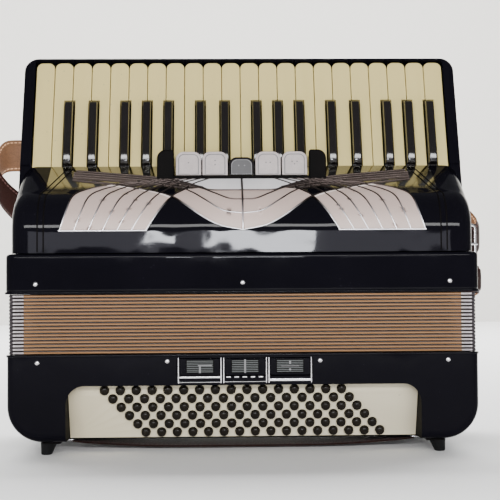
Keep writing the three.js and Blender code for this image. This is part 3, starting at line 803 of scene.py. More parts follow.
def black_key(number, x):
    """Rings of a rounded section along the key: a tail under the cover, a step, a slope behind, a long top
    and a steep nose. The section narrows towards the top."""
    corner = np.radians(np.linspace(0, 90, 5))
    rings = []
    for u, height in BLACK_SIDE:
        half = BLACK_HALF - BLACK_TAPER * max(0.0, height) / BLACK_RISE
        soft = min(BLACK_SOFT, max(0.2, height + 1.4))
        right = [[half - soft + soft * math.cos(a), height - soft + soft * math.sin(a)] for a in corner]
        section = [[-BLACK_HALF, -WHITE_THICK], [BLACK_HALF, -WHITE_THICK], [BLACK_HALF, BLACK_SKIRT]]
        left = [[-a, b] for a, b in right[::-1]]
        section = np.array(section + right + left + [[-BLACK_HALF, BLACK_SKIRT]])
        rings.append(on_keyboard(x + section[:, 0], np.full(len(section), u), section[:, 1]))
    count = len(rings[0])
    faces = grid_faces(len(rings), count, wrap_cols=True).tolist()
    faces.append(list(range(count)))
    faces.append([(len(rings) - 1) * count + i for i in range(count)])
    settle(new_piece(f"black_key_{number:02d}", np.concatenate(rings), faces, EBONY, smooth=50),
           f"key_black_{number:02d}", "key_ebony", f"key_black_{number:02d}")


for white in range(WHITE_COUNT):
    white_key(white)
for number, x in enumerate(BLACK_X.values(), 1):
    black_key(number, x)


# ---------------------------------------------------------------- keyboard frame
TRAY_SPAN = (-28.0, 128.0)
TRAY_FLOOR = -32.0
TRAY_RIM = 3.0
KEYBED = -22.0
KEYBED_HALF = 220.9
FELT_SPAN = (96.0, 121.0)
FELT_THICK = 1.4


def keyboard_frame():
    """A lacquered tray with end cheeks and rounded upper corners, felt on its bed."""
    half = (FRAME_HIGH[0] - FRAME_LOW[0]) / 2
    outline = rounded(-half, TRAY_SPAN[0], half, TRAY_SPAN[1], (3, 3, 15, 15))
    tray = slab("keyboard_tray", outline, TRAY_FLOOR, TRAY_RIM, 2.2, on_keyboard, BLACK, steps=4)
    pocket = rounded(-KEYBED_HALF, -40, KEYBED_HALF, TRAY_SPAN[1] - TRAY_RIM, (0, 0, 3, 3))
    carve(tray, pocket, KEYBED, 20, on_keyboard)
    carve(tray, rounded(-260, -60, 260, 2.8, (0,) * 4), 0.2, 20, on_keyboard)
    settle(tray, "treble_side", "black_celluloid", "keyboard_frame")
    strip = rounded(-220, FELT_SPAN[0], 220, FELT_SPAN[1], (2,) * 4)
    felt = slab("key_felt", strip, KEYBED, KEYBED + FELT_THICK, 0.5, on_keyboard, FELT)
    settle(felt, "treble_side", "bellows_tape")


keyboard_frame()


# ---------------------------------------------------------------- grille cover
LEDGE_FOOT = np.array([25.0, 263.0])
LEDGE_TOP = np.array([71.0, 293.2])
SHOULDER_Z = 222.0
COVER_HALF = (COVER_HIGH[0] - COVER_LOW[0]) / 2
COVER_FOOT = 200.5
COVER_ROUND = 17.0
COVER_WALL = 2.6
WALL_DROP = 20.0
WALL_SPAN = (42.0, 66.0)
WALL_TOP = 290.0
LEDGE_HALF = 213.0
LEDGE_LIP = 5.0


def cover_line(count=200):
    """The cover's side view (y, z): up the front, round a cubic quarter, and along the ledge, by length."""
    t = np.linspace(0, 1, 60)[:, None]
    a, d = np.array([0.0, SHOULDER_Z]), LEDGE_FOOT
    b, c = np.array([0.0, SHOULDER_Z + 24]), np.array([LEDGE_FOOT[0] - 12, LEDGE_FOOT[1] - 6])
    curve = a * (1 - t) ** 3 + 3 * b * t * (1 - t) ** 2 + 3 * c * t ** 2 * (1 - t) + d * t ** 3
    line = np.concatenate([[[0.0, COVER_FOOT]], curve, [LEDGE_TOP]])
    length = np.concatenate([[0], np.cumsum(np.linalg.norm(np.diff(line, axis=0), axis=1))])
    even = np.linspace(0, length[-1], count)
    return even, np.stack([np.interp(even, length, line[:, i]) for i in range(2)], -1)


COVER_S, COVER_YZ = cover_line()
COVER_OUT = unit(np.stack([-np.gradient(COVER_YZ[:, 1]), np.gradient(COVER_YZ[:, 0])], -1))
COVER_LENGTH = COVER_S[-1]
LEDGE_S = COVER_LENGTH - math.dist(LEDGE_FOOT, LEDGE_TOP)


def on_cover(x, s, lift=0.0):
    """The point of the cover at x and at length s up its side view, lifted off along its normal."""
    s = np.clip(s, 0, COVER_LENGTH)
    y, z, ny, nz = (np.interp(s, COVER_S, v) for v in (*COVER_YZ.T, *COVER_OUT.T))
    return np.stack([x + 0 * s, y + ny * lift, z + nz * lift], -1)


def cover_normal(s):
    """The cover's outward direction at length s."""
    s = np.clip(s, 0, COVER_LENGTH)
    ny, nz = (np.interp(s, COVER_S, v) for v in COVER_OUT.T)
    return unit(np.stack([0 * s, ny, nz], -1))


def grille_cover():
    """The side view carried along x, its two ends rolled over a quarter circle and closed by flat walls."""
    angle = np.radians(np.linspace(0, 90, 9))
    x_round = COVER_HALF - COVER_ROUND + COVER_ROUND * np.sin(angle)
    sink_round = COVER_ROUND * (1 - np.cos(angle))
    flat = np.linspace(-(COVER_HALF - COVER_ROUND), COVER_HALF - COVER_ROUND, 30)[1:-1]
    x = np.concatenate([-x_round[::-1], flat, x_round])
    sink = np.concatenate([sink_round[::-1], 0 * flat, sink_round])
    ledge = [LEDGE_S + LEDGE_LIP, 80, 90, 105, COVER_LENGTH - 1, COVER_LENGTH]
    s = np.concatenate([[0, 8, 16], np.linspace(20, LEDGE_S, 40), ledge])
    s_grid, x_grid = np.meshgrid(s, x, indexing="ij")
    points = on_cover(x_grid, s_grid, 0.0) - cover_normal(s_grid) * sink[None, :, None]
    walls = []
    shares = np.linspace(0, 1, 6)[1:, None, None]
    for column in (0, -1):
        edge = points[:, column]
        goal = edge.copy()
        goal[:, 2] = np.clip(edge[:, 2] - WALL_DROP, COVER_FOOT, None)
        goal[:, 1] = np.interp(goal[:, 2], [COVER_FOOT, WALL_TOP], WALL_SPAN)
        walls.append((edge + (goal - edge) * shares).transpose(1, 0, 2))
    grid = np.concatenate([walls[0][:, ::-1], points, walls[1]], axis=1)
    faces = grid_faces(*grid.shape[:2])
    middle = np.abs(grid[0, :, 0]) < LEDGE_HALF
    polished = (s[:-1] >= LEDGE_S + LEDGE_LIP)[:, None] & (middle[:-1] & middle[1:])[None]
    kind = np.where(polished, 1, 0).ravel()
    shell = new_piece("grille_shell", grid, faces, [BLACK, LEDGE_BLACK], smooth=60, face_material=kind)
    solid = shell.modifiers.new("wall", "SOLIDIFY")
    solid.thickness = COVER_WALL * MM
    solid.offset = -1.0
    made_final(shell, solid)
    settle(shell, "treble_side", "black_celluloid", "grille_cover")


grille_cover()


# ---------------------------------------------------------------- grille: ribs, cloth and plate
# control points (x, length up the cover) of the ribs on the right half
FAN_OUTER = np.array([[-181.5, 22.3], [-175.5, 42], [-169.5, 63], [-157.5, 76.2], [-134, 86], [-102, 93.5],
                      [-72, 101]])
FAN_INNER = np.array([[-96.2, 22.3], [-84.5, 41], [-71.5, 60], [-60, 76], [-49, 88], [-38, 96], [-28, 102]])
SWOOSH = [np.array(line, float) for line in (
    [[0, 22.3], [-24, 27.5], [-43, 38], [-58, 50], [-71, 61], [-91, 72], [-111, 79], [-129, 87.5],
     [-150, 92],
     [-174, 97.5]],
    [[0, 39], [-20, 42.5], [-38, 56], [-51, 69.5], [-60, 78], [-76, 84.5], [-100, 90.5], [-137, 97.0],
     [-174, 102.5]],
    [[0, 56], [-14, 57.5], [-28, 67], [-37, 75], [-45, 79.5], [-57, 84], [-70, 88], [-98, 95], [-136, 102],
     [-174, 107.5]],
    [[-40, 80.5], [-57, 87.5], [-76, 94], [-100, 100], [-137, 106.5], [-174, 112.5]],
    [[0, 74], [-31, 74.5], [-41, 80], [-57, 90], [-76, 98.5], [-100, 104.5], [-137, 111], [-172, 117]])]
FAN_RIBS = 7
FAN_SAMPLES = 90
FAN_FOOT = ((-182.6, 22.0), (-95.2, 22.0))
RIB_WIDTH = 1.75
RIB_RISE = 1.3
POST_WIDTH = 2.2
POST_RISE = 1.9
PLATE_TOP = 103.5
CLOTH_LIFT = 0.7
PANEL_LIFT = 0.5
PLATE_LIFT = 0.8
END_LIFT = 1.0


def fan_end(share):
    """How far along its control points a fan rib meets the lowest rib of the swoosh."""
    return 4.0 - 2.0 * share + 0.25 * (1 - abs(2 * share - 1))


def fan_rib(share, count=FAN_SAMPLES):
    """A rib of the fan in (x, s), a share of the way from the outer rib to the inner one."""
    return spline(FAN_OUTER * (1 - share) + FAN_INNER * share, count)


def rib_parts(line, mirror, width=RIB_WIDTH, rise=RIB_RISE, lift=0.3):
    """A half-round bar along a line on the cover."""
    x, s = line[:, 0] * mirror, line[:, 1]
    path = on_cover(x, s, lift)
    up = cover_normal(s)
    across = unit(np.cross(unit(np.gradient(path, axis=0)), up))
    angle = np.linspace(0, math.pi, 7)
    section = np.stack([width / 2 * np.cos(angle), rise * np.sin(angle)], -1)
    section = np.concatenate([section, [[-width / 2, -0.9], [width / 2, -0.9]]])
    return swept_parts(path, across, up, section)


def patch_parts(lines, mirror, lift, thick=1.2):
    """A thin curved sheet spanned between several lines on the cover, with its walls closed."""
    grid = np.stack(lines)
    top = on_cover(grid[..., 0] * mirror, grid[..., 1], lift)
    bottom = on_cover(grid[..., 0] * mirror, grid[..., 1], lift - thick)
    rows, cols = grid.shape[:2]
    both = np.concatenate([top.reshape(-1, 3), bottom.reshape(-1, 3)])
    face = grid_faces(rows, cols)
    size = rows * cols
    border = np.concatenate([np.arange(cols), np.arange(1, rows) * cols + cols - 1,
                             (rows - 1) * cols + np.arange(cols - 1)[::-1],
                              np.arange(1, rows - 1)[::-1] * cols])
    after = np.roll(border, -1)
    walls = np.stack([border, after, after + size, border + size], -1)
    return both, np.concatenate([face, face[:, ::-1] + size, walls]).tolist()


def stretch(line, first, last, count):
    """The part of a line between two x values, evenly sampled."""
    whole = spline(line, 500)
    part = whole[(whole[:, 0] <= -first) & (whole[:, 0] >= -last)]
    return part[np.linspace(0, len(part) - 1, count).round().astype(int)]


def fan_strip(number, start, stop, count=40):
    """The cloth between two neighbouring fan ribs, from a share of their visible length to another."""
    lines = []
    for share in (number + np.linspace(0, 1, 5)) / (FAN_RIBS - 1):
        whole = fan_rib(share, 400)
        reach = fan_end(share) / (len(FAN_OUTER) - 1) * 399
        lines.append(whole[np.linspace(start * reach, stop * reach, count).astype(int)])
    return lines


def between_lines(a, b, rows=4):
    return [a + (b - a) * k for k in np.linspace(0, 1, rows)]


def grille_parts():
    """Everything on the cover, mirrored left and right, sorted by what it is made of."""
    ribs, cloth, ends, plate = [], [], [], []
    for mirror in (1, -1):
        ribs += [rib_parts(fan_rib(share), mirror) for share in np.linspace(0, 1, FAN_RIBS)]
        ribs += [rib_parts(spline(line, 120), mirror) for line in SWOOSH]
        ribs.append(rib_parts(np.linspace(*FAN_FOOT, 40), mirror, POST_WIDTH))
        for number in range(FAN_RIBS - 1):
            cloth.append(patch_parts(fan_strip(number, 0, 0.96), mirror, CLOTH_LIFT))
            # painted highlight patches at the ends of the strips
            ends.append(patch_parts(fan_strip(number, 0.955, 0.995, 8), mirror, END_LIFT))
        low, middle, high = (stretch(SWOOSH[i], 0, reach, 50) for i, reach in enumerate((71, 57, 43)))
        cloth.append(patch_parts(between_lines(low, middle), mirror, CLOTH_LIFT))
        cloth.append(patch_parts(between_lines(middle, high), mirror, CLOTH_LIFT))
        inner = stretch(SWOOSH[2], 0, 34, 30)
        level = stretch(SWOOSH[4], 0, 33, 30)
        cloth.append(patch_parts(between_lines(inner, level), mirror, PANEL_LIFT))
        edge = stretch(SWOOSH[4], 0, 82, 60)
        top = np.stack([edge[:, 0], np.maximum(PLATE_TOP, edge[:, 1] + 0.5)], -1)
        plate.append(patch_parts(between_lines(edge, top, 6), mirror, PLATE_LIFT))
    ribs.append(rib_parts(np.linspace((0, 22.5), (0, PLATE_TOP), 50), 1, POST_WIDTH, POST_RISE))
    return ribs, cloth, ends, plate


WEAVE_PITCH = 1.6


def grille():
    """The ribs, the lighter strip ends that carry a painted highlight, the plate, and the cloth with its own
    weave coordinates.
    """
    ribs, cloth, ends, plate = grille_parts()
    for name, parts, material, slot in (("grille_ribs", ribs, RIB_NICKEL, "chrome_trim"),
                                        ("grille_strip_ends", ends, STRIP_END_HIGHLIGHT, "board_ivory"),
                                        ("register_plate", plate, BRUSHED, "chrome_trim")):
        joined(name, parts, material, "treble_side", slot, smooth=50)
    points, faces = gathered(cloth)
    uv = np.stack([points[:, 0] + points[:, 2], points[:, 0] - points[:, 2]], -1) / WEAVE_PITCH
    settle(new_piece("grille_strips", points, faces, CLOTH, smooth=50, uv=uv), "treble_side", "board_ivory")


grille()


GROOVE_FROM_END = 27.5
GROOVE_GAP = 6.0
GROOVE_SLANT = 21.0
GROOVE_TURN = (66.0, 121.0)


def cover_grooves():
    """Two flat black lines near each end: up the front, round the quarter and slanting over the ledge."""
    parts = []
    s = np.linspace(1, COVER_LENGTH - 2, 90)
    slant = np.interp(s, GROOVE_TURN, (0, GROOVE_SLANT))
    for mirror in (1, -1):
        for offset in (0.0, GROOVE_GAP):
            x = slant - (COVER_HALF - GROOVE_FROM_END - offset)
            parts.append(rib_parts(np.stack([x, s], -1), mirror, 1.5, 0.25, 0.05))
    joined("cover_grooves", parts, MATTE_BLACK, "treble_side", "tab_black")


cover_grooves()


# ---------------------------------------------------------------- treble case
RIM_FLAT = 0.3
RIM_CORNER = 12.0
RIM_WALL = 6.0
RIM_EDGE = 3.6
SEAT_INSET = 5.0
BACK_HALF = 231.5
BACK_ROUND = 30.0
BACK_SHOULDER = 232.0
BACK_BEND = 70.0
# the housing's corners (distance from the key roots, height above the white keys) behind the keyboard
BACK_CORNERS = [(3, -32.4), (-28.4, -32.4), (-28.4, 0.1), (-60, 0.1), (-99, 0.1)]


def rim_ring(name, half, y0, y1, z0, z1, corner, wall, edge, material, steps=5):
    """A ring round the case: a section with rounded outer edges carried round a rounded rectangle."""
    outline = rounded(-half, y0, half, y1, (corner,) * 4, 10)
    angle = np.linspace(0, math.pi / 2, steps)
    lower = [(edge * (1 - math.sin(a)), z0 + edge * (1 - math.cos(a))) for a in angle]
    upper = [(edge * (1 - math.sin(a)), z1 - edge * (1 - math.cos(a))) for a in angle[::-1]]
    flat = [(0, z0 + (1 + RIM_FLAT) * edge), (0, z1 - (1 + RIM_FLAT) * edge)]
    rings = lower + flat + upper + [(wall, z1), (wall, z0)]
    points = []
    for shrink, level in rings:
        ring = inset(outline, shrink)
        points.append(along_z(ring[:, 0], ring[:, 1], np.full(len(ring), level)))
    faces = grid_faces(len(rings), len(outline), wrap_rows=True, wrap_cols=True)
    return new_piece(name, np.concatenate(points), faces, material, smooth=50)


def housing():
    """The closed back of the treble side: its side view carried along x with rounded ends."""
    back = TREBLE_HIGH[1]
    bend = np.radians(np.linspace(0, BACK_BEND, 10))
    arc = np.stack([back - BACK_ROUND * (1 - np.cos(bend)), BACK_SHOULDER + BACK_ROUND * np.sin(bend)], -1)
    u, n = np.array(BACK_CORNERS, float).T
    outline = np.concatenate([[[back, RIM_TOP - 4]], arc, on_keyboard(0 * u, u, n)[:, 1:]])
    piece = slab("treble_back", outline, -BACK_HALF, BACK_HALF, 5.0, along_x, BLACK, steps=5)
    settle(piece, "treble_side", "black_celluloid")


def rim():
    """The black rim round the treble side."""
    ring = rim_ring("treble_rim", TREBLE_HIGH[0], 0, DEPTH, TREBLE_LOW[2], RIM_TOP, RIM_CORNER, RIM_WALL,
                    RIM_EDGE, BLACK, 7)
    settle(ring, "treble_side", "black_celluloid", "treble_case")


def rim_seat():
    """The plate that closes the rim under the cover."""
    seat = rounded(-231, SEAT_INSET, 231, DEPTH - SEAT_INSET, (8,) * 4)
    settle(slab("rim_seat", seat, RIM_TOP - 5, RIM_TOP - 0.2, 0.5, along_z, BLACK), "treble_side",
           "black_celluloid")


rim()
housing()
rim_seat()


# ---------------------------------------------------------------- bellows
FOLDS = 17
FOLD_DEPTH = 20.0
METAL_DEPTH = 4.0
HIDE_DEPTH = 0.7
FOLD_POWER = 5
FOLD_WALL = 2.2
FOLD_CORNER = 8.0
FOLD_PROUD = 0.8
HIDE_REACH = 6.3
METAL_REACH = 15.5
DEEPEN = (14.0, 34.0)
BELLOWS_FRAME = 2.4
FOLD_LOW = BELLOWS_LOW[2] + 0.1
FOLD_HIGH = BELLOWS_HIGH[2] - 0.1


def bellows_loop(half, y0, y1):
    """A rounded rectangle round the bellows, with more points near its corners than along its sides."""
    loop = rounded(-half, y0, half, y1, (FOLD_CORNER,) * 4, 8)
    out = []
    for a, b in zip(loop, np.roll(loop, -1, 0)):
        gap = np.linalg.norm(b - a)
        out.append(a[None])
        if gap > 40:
            ends = np.array([1.0, 3.0, 5.0, 7.4, 7.6, 10.0, 14.0, 18.0, 23.0]) / gap
            cuts = np.concatenate([ends, np.linspace(30 / gap, 1 - 30 / gap, 20), 1 - ends[::-1]])
            out.append(a + (b - a) * cuts[:, None])
    return np.concatenate(out)


def bellows():
    """A loop of points round the box times a pleat up it: over each fold the surface steps in by a depth
    times |2t - 1|^5, shallow at the corners and full along the sides, and the inside lies a card's
    thickness further in. Metal and leather wrap the corners."""
    half = BELLOWS_HIGH[0] + FOLD_PROUD
    y0, y1 = BELLOWS_LOW[1], BELLOWS_HIGH[1]
    loop = bellows_loop(half, y0, y1)
    step = np.linalg.norm(np.roll(loop, -1, 0) - loop, axis=1)
    around = np.concatenate([[0], np.cumsum(step)[:-1]])
    ahead = unit(np.roll(loop, -1, 0) - np.roll(loop, 1, 0))
    outward = np.stack([ahead[:, 1], -ahead[:, 0]], -1)
    from_corner = np.maximum(half - np.abs(loop[:, 0]), np.minimum(loop[:, 1] - y0, y1 - loop[:, 1]))
    hide = from_corner <= HIDE_REACH
    metal = ~hide & (from_corner < METAL_REACH)
    full = np.clip((from_corner - DEEPEN[0]) / (DEEPEN[1] - DEEPEN[0]), 0, 1)
    full = full * full * (3 - 2 * full)
    fold = np.where(hide, HIDE_DEPTH, METAL_DEPTH) + (FOLD_DEPTH - METAL_DEPTH) * full

    share = np.array([0, 0.04, 0.09, 0.16, 0.27, 0.5, 0.73, 0.84, 0.91, 0.96])
    level = np.concatenate([(np.arange(FOLDS)[:, None] + share).ravel(), [FOLDS]])
    wave = np.abs(2 * (level % 1) - 1)[:, None]
    z = FOLD_LOW + (FOLD_HIGH - FOLD_LOW) * level / FOLDS
    proud = np.clip(1 - wave / 0.45, 0, 1) * np.where(metal, 0.5, 0.0)
    soft = np.where(hide, 0.4, 0.0) * (1 - wave)
    reach = proud + soft - wave ** FOLD_POWER * fold
    heights = np.broadcast_to(z[:, None, None], (len(z), len(loop), 1))
    outer, inner = (np.concatenate([loop + outward * (reach - wall)[..., None], heights], -1)
                    for wall in (0.0, FOLD_WALL))
    grid = np.concatenate([outer, inner[::-1]])
    rows, cols = grid.shape[:2]
    faces = grid_faces(rows, cols, wrap_rows=True, wrap_cols=True)
    kind = np.where(hide, 2, np.where(metal, 1, 0))
    column = np.tile(np.arange(cols), rows)
    face_material = np.minimum(kind[column], kind[(column + 1) % cols])
    turn = np.concatenate([level, level[::-1]])
    uv = np.stack(np.broadcast_arrays(around[None] / 100, turn[:, None]), -1)
    piece = new_piece("bellows_folds", grid, faces, [TAPE, CORNER_METAL, CORNER_HIDE], smooth=60, uv=uv,
                      face_material=face_material)
    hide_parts("bellows")
    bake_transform(piece)


bellows()
for label, z0, half, body in (("bass", BELLOWS_LOW[2] - BELLOWS_FRAME, 235.6, "bass_side"),
                              ("treble", BELLOWS_HIGH[2] + 0.1, 237.0, "treble_side")):
    settle(rim_ring(f"bellows_frame_{label}", half, -0.9, DEPTH + 0.9, z0, z0 + BELLOWS_FRAME, 11, 4, 0.7,
                    BLACK, 4), body, "black_celluloid")


# ---------------------------------------------------------------- bass case
CASE_EDGE = 7.0
CASE_WALL = 6.0
CASE_CORNER = 35.0
BOARD_SEAT = -3.3
BOARD_HALF = 175.4


def bass_case():
    """A rounded box with its upper side open inside, the button recess and the register window cut in."""
    half = BASS_HIGH[0]
    low, high = BASS_LOW[2], BASS_HIGH[2]
    outline = rounded(-half, low, half, high + 14, (CASE_CORNER, CASE_CORNER, 9, 9), 14)
    case = slab("bass_shell", outline, 0, DEPTH, CASE_EDGE, along_y, BASS_BLACK, steps=7)
    carve(case, rounded(-half - 5, high, half + 5, high + 30, (0,) * 4), -5, DEPTH + 5, along_y)
    corner = CASE_CORNER - CASE_WALL
    inner = rounded(-half + CASE_WALL, low + CASE_WALL, half - CASE_WALL, high + 30,
                    (corner, corner, 0, 0), 10)
    hollow = slab("hollow", inner, CASE_WALL, DEPTH - CASE_WALL, KNIFE_EDGE, along_y, BLACK, steps=1)
    carve(hollow, rounded(-181, -78, 181, 6, (0,) * 4), -6.4, 60, on_board)
    cut_away(case, hollow)
    recess = rounded(-176, -90, 176, BOARD_TOP, (0, 0, 18, 18), 12)
    carve(case, recess, BOARD_SEAT, 70, on_board, MATTE_BLACK)
    carve(case, rounded(-147, -61.5, 147, -3.5, (3,) * 4, 4), -14, -3, on_board, MATTE_BLACK)
    carve(case, rounded(-66.5, 77.6, 68.5, 96, (1.5,) * 4, 4), -5, 8, along_y, MATTE_BLACK)
    settle(case, "bass_side", "black_celluloid", "bass_case")


bass_case()


BUTTON_ROWS = 6
BUTTON_COLUMNS = 16
BUTTON_FIRST = (-139.3, -9.1)
BUTTON_PITCH = 15.84
ROW_SHIFT = 8.06
ROW_PITCH = 9.35
HOLE_RADIUS = 5.2


def button_places():
    """Six slanting rows of sixteen, each row half a pitch further along."""
    row, column = np.meshgrid(np.arange(BUTTON_ROWS), np.arange(BUTTON_COLUMNS), indexing="ij")
    x = BUTTON_FIRST[0] + row * ROW_SHIFT + column * BUTTON_PITCH
    return x.ravel(), (BUTTON_FIRST[1] - row * ROW_PITCH).ravel()


def button_board():
    """A flat filled curve: the board's outline with a round hole for each button, given thickness."""
    curve = bpy.data.curves.new("board_curve", "CURVE")
    curve.dimensions = "2D"
    curve.fill_mode = "BOTH"
    xs, ws = button_places()
    angle = np.linspace(0, 2 * math.pi, 20, endpoint=False)
    loops = [rounded(-BOARD_HALF, -61.8, BOARD_HALF, BOARD_TOP - 0.5, (0, 0, 17.4, 17.4), 10)]
    circle = HOLE_RADIUS * np.stack([np.cos(angle), np.sin(angle)], -1)
    loops += [circle + place for place in zip(xs, ws)]
    for loop in loops:
        line = curve.splines.new("POLY")
        line.points.add(len(loop) - 1)
        flat = np.concatenate([loop, np.zeros((len(loop), 1)), np.ones((len(loop), 1))], 1)
        line.points.foreach_set("co", flat.ravel())
        line.use_cyclic_u = True
    curve.extrude = 1.2
    curve.bevel_depth = 0.3
    curve.bevel_resolution = 1
    shape = bpy.data.objects.new("board_curve", curve)
    bpy.context.scene.collection.objects.link(shape)
    bpy.context.view_layer.update()
    mesh = bpy.data.meshes.new_from_object(shape.evaluated_get(bpy.context.evaluated_depsgraph_get()))
    bpy.data.objects.remove(shape)
    points = np.zeros(len(mesh.vertices) * 3)
    mesh.vertices.foreach_get("co", points)
    points = points.reshape(-1, 3)
    faces = [list(p.vertices) for p in mesh.polygons]
    placed = on_board(points[:, 0], points[:, 1], points[:, 2] - 1.5)
    settle(new_piece("ivory_board", placed, faces, IVORY, smooth=30), "bass_side", "board_ivory",
           "button_board")


def bass_buttons():
    """Ninety-six domed buttons, a turned profile set at each place, and the bar that carries them."""
    profile = [[0, -9], [3.4, -9], [3.4, -6], [4.2, -6], [4.25, 1.4], [4.55, 2.0], [4.5, 2.8], [4.1, 3.5],
               [3.3, 4.1], [2.0, 4.6], [0, 4.8]]
    parts = [turned_parts(profile, lambda a, b, c, x=x, w=w: on_board(a + x, b + w, c), 20)
             for x, w in zip(*button_places())]
    parts.append(block_parts(-146, -56, 146, -8, -10, -8, 0.3, on_board, 3, 3))
    joined("bass_button_set", parts, BUTTON, "bass_buttons", "button_black", "bass_buttons", smooth=45)


button_board()
bass_buttons()


# ---------------------------------------------------------------- bass registers
# middles of the three tablets, the uprights beside them, and the engraved signs (x0, x1, z0, z1)
TABLETS = (-43.5, 1.2, 45.8)
UPRIGHTS = (-64.7, -22.6, -20.0, 22.3, 24.8, 66.8)
SIGNS = (((-1, 1, 81, 88), (-2, 12, 88, 89.2)), ((-0.9, 0.9, 80.8, 94.4),),
         ((-1, 1, 83, 85), (-1, 1, 89.5, 92.5), (-9, 9, 87.0, 87.9)))
RAILS = [(-64.4, -22.9, 76.0, 78.0), (-64.4, -22.9, 71.6, 72.6), (-19.7, 22.0, 71.9, 72.9),
         (25.1, 66.5, 72.6, 75.4)] + [(x, x + 4.6, 76.3, 77.9) for x in (-17.5, -9.5, -1.5, 6.5, 14.5)]


def bass_registers():
    """Three black tablets with grey engraved bars, between nickel uprights, over nickel rails."""
    for number, (x, signs) in enumerate(zip(TABLETS, SIGNS), 1):
        node = f"bass_register_{number}"
        tablet = block_parts(x - 20.2, 78.4, x + 20.2, 95.2, 1.4, 5.6, 0.6, along_y, 1.2, 3, 3)
        panel = block_parts(x - 13.8, 80.8, x + 13.8, 94, 0.9, 2.2, 0.25, along_y, 0.8, 3)
        settle(new_piece(f"register_tablet_{number}", *tablet, BASS_BLACK), node, "tab_black", node)
        settle(new_piece(f"register_face_{number}", *panel, MATTE_BLACK), node, "tab_black")
        lines = [block_parts(x - 13, z - 0.42, x + 13, z + 0.42, 0.6, 1.2, 0.1, along_y, 0, steps=1)
                 for z in np.linspace(82.2, 92.8, 7)]
        joined(f"register_lines_{number}", lines, LINE_GREY, node, "tab_black")
        bars = [block_parts(x + a, c, x + b, d, 0.4, 1.3, 0.15, steps=1) for a, b, c, d in signs]
        joined(f"register_marks_{number}", bars, MARK_GREY, node, "tab_pearl")
    trim = [block_parts(x - 0.55, 71, x + 0.55, 96.4, -1.0, 2.0, 0.35) for x in UPRIGHTS]
    trim += [block_parts(x0, z0, x1, z1, -1.5, 1.0, 0.45) for x0, x1, z0, z1 in RAILS]
    joined("register_trim", trim, NICKEL, "bass_side", "chrome_trim")


bass_registers()


# ---------------------------------------------------------------- treble registers
TAB_PITCH = 27.5
TAB_HALF = 13.1
TAB_FOOT = (50.0, 281.6)
TAB_LEAN = math.radians(8.0)
# node, height, finish, and the places of its dots
TABS = [("register_tab_1", 25.0, PEARL, [(0, 0)]), ("register_tab_2", 25.0, PEARL, [(0, 2.2), (0, -2.2)]),
        ("register_tab_master", 19.0, DARK_TAB, [(-3, 0), (3, 0)]),
        ("register_tab_3", 25.0, PEARL, [(-2.2, 0), (2.2, 0)]),
        ("register_tab_4", 25.0, PEARL, [(-2.6, 1), (0, -1.6), (2.6, 1)])]
DOT = [[0, -2.2], [0.75, -2.2], [0.75, -2.45], [0.5, -2.5], [0, -2.5]]


def tab_parts(sides, top, arch, low, high, edge, place, turns, steps, foot=0.0, heel=0.5):
    """An upright plate whose upper corners are arched."""
    outline = rounded(-sides, foot, sides, top, (heel, heel, arch, arch), turns)
    return slab_parts(outline, low, high, edge, place, steps)


def treble_registers():
    """Arched tabs with a raised border round a flat panel, on a black block with rounded ends."""
    high = local_box("register_housing")[1]
    for index, (node, height, finish, dots) in enumerate(TABS):
        def standing(a, b, c, x=(index - 2) * TAB_PITCH):
            y = TAB_FOOT[0] + b * math.sin(TAB_LEAN) + c * math.cos(TAB_LEAN)
            z = TAB_FOOT[1] + b * math.cos(TAB_LEAN) - c * math.sin(TAB_LEAN)
            return np.stack([a + x, y, z], -1)

        master, number = node.endswith("master"), index + 1
        body = tab_parts(TAB_HALF, height, 8, -1.7, 2.2, 0.7, standing, 9, 4, heel=0.8)
        settle(new_piece(f"tab_{number}", *body, EBONY if master else finish), node,
               "tab_black" if master else "tab_pearl", node)
        line = tab_parts(10.8, height - 2.4, 6.2, -1.75, -1.0, 0.1, standing, 8, 1, foot=0.6)
        settle(new_piece(f"tab_line_{number}", *line, MARK_GREY), node, "tab_black")
        panel = tab_parts(9.8, height - 3.4, 5.4, -2.1, -1.0, 0.3, standing, 8, 3, foot=1.2)
        settle(new_piece(f"tab_panel_{number}", *panel, finish), node, "tab_pearl")
        marks = [turned_parts(DOT, lambda p, q, c, a=a, b=b: standing(p + a, q + b + height * 0.52, c), 12)
                 for a, b in dots]
        joined(f"tab_marks_{number}", marks, MARK_GREY, node, "tab_black")
    parts = []
    for radii, x0, x1 in (((0, 0, 2, 9), -high[0], -70.0), ((0, 0, 9, 2), 70.0, high[0])):
        parts.append(slab_parts(rounded(x0, 274, x1, high[2], radii, 8), 45.5, 56.5, 1.6, along_y, 5))
    parts.append(block_parts(-high[0] + 1, 270, high[0] - 1, 280.9, 46.0, 55.0, 0.7, along_y, 0.5, 8, 3))
    joined("register_block", parts, MATTE_BLACK, "treble_side", "black_celluloid", "register_housing")


treble_registers()


# ---------------------------------------------------------------- end plate, feet, air button
PLATE_OUTLINE = [[-200, 10], [-182, 10], [-182, 46], [182, 46], [182, 10], [200, 10], [200, 180],
                 [-200, 180]]
FOOT_X = 196.0
FOOT_SPLAY = 0.22


def end_plate():
    """The lacquered cover under the hand strap and four turned feet, splayed a little outwards."""
    plate = slab("bass_cover", PLATE_OUTLINE, 11.5, 13.6, 0.6, along_z, MATTE_BLACK)
    settle(plate, "bass_side", "end_plate_black", "bass_end_plate")
    profile = [[0, 0], [4.6, 0], [5.3, 0.5], [5.7, 1.6], [6.0, 3.0], [7.9, 10.4], [8.3, 11.5], [8.3, 12.2],
               [0, 12.2]]
    feet = [turned_parts(profile, lambda a, b, c, x=x, y=y: along_z(
        a + x - np.sign(x) * (c - 6) * FOOT_SPLAY, b + y, c), 32)
            for x in (-FOOT_X, FOOT_X) for y in (20, 168)]
    joined("feet", feet, RUBBER, "bass_side", "end_plate_black", smooth=35)


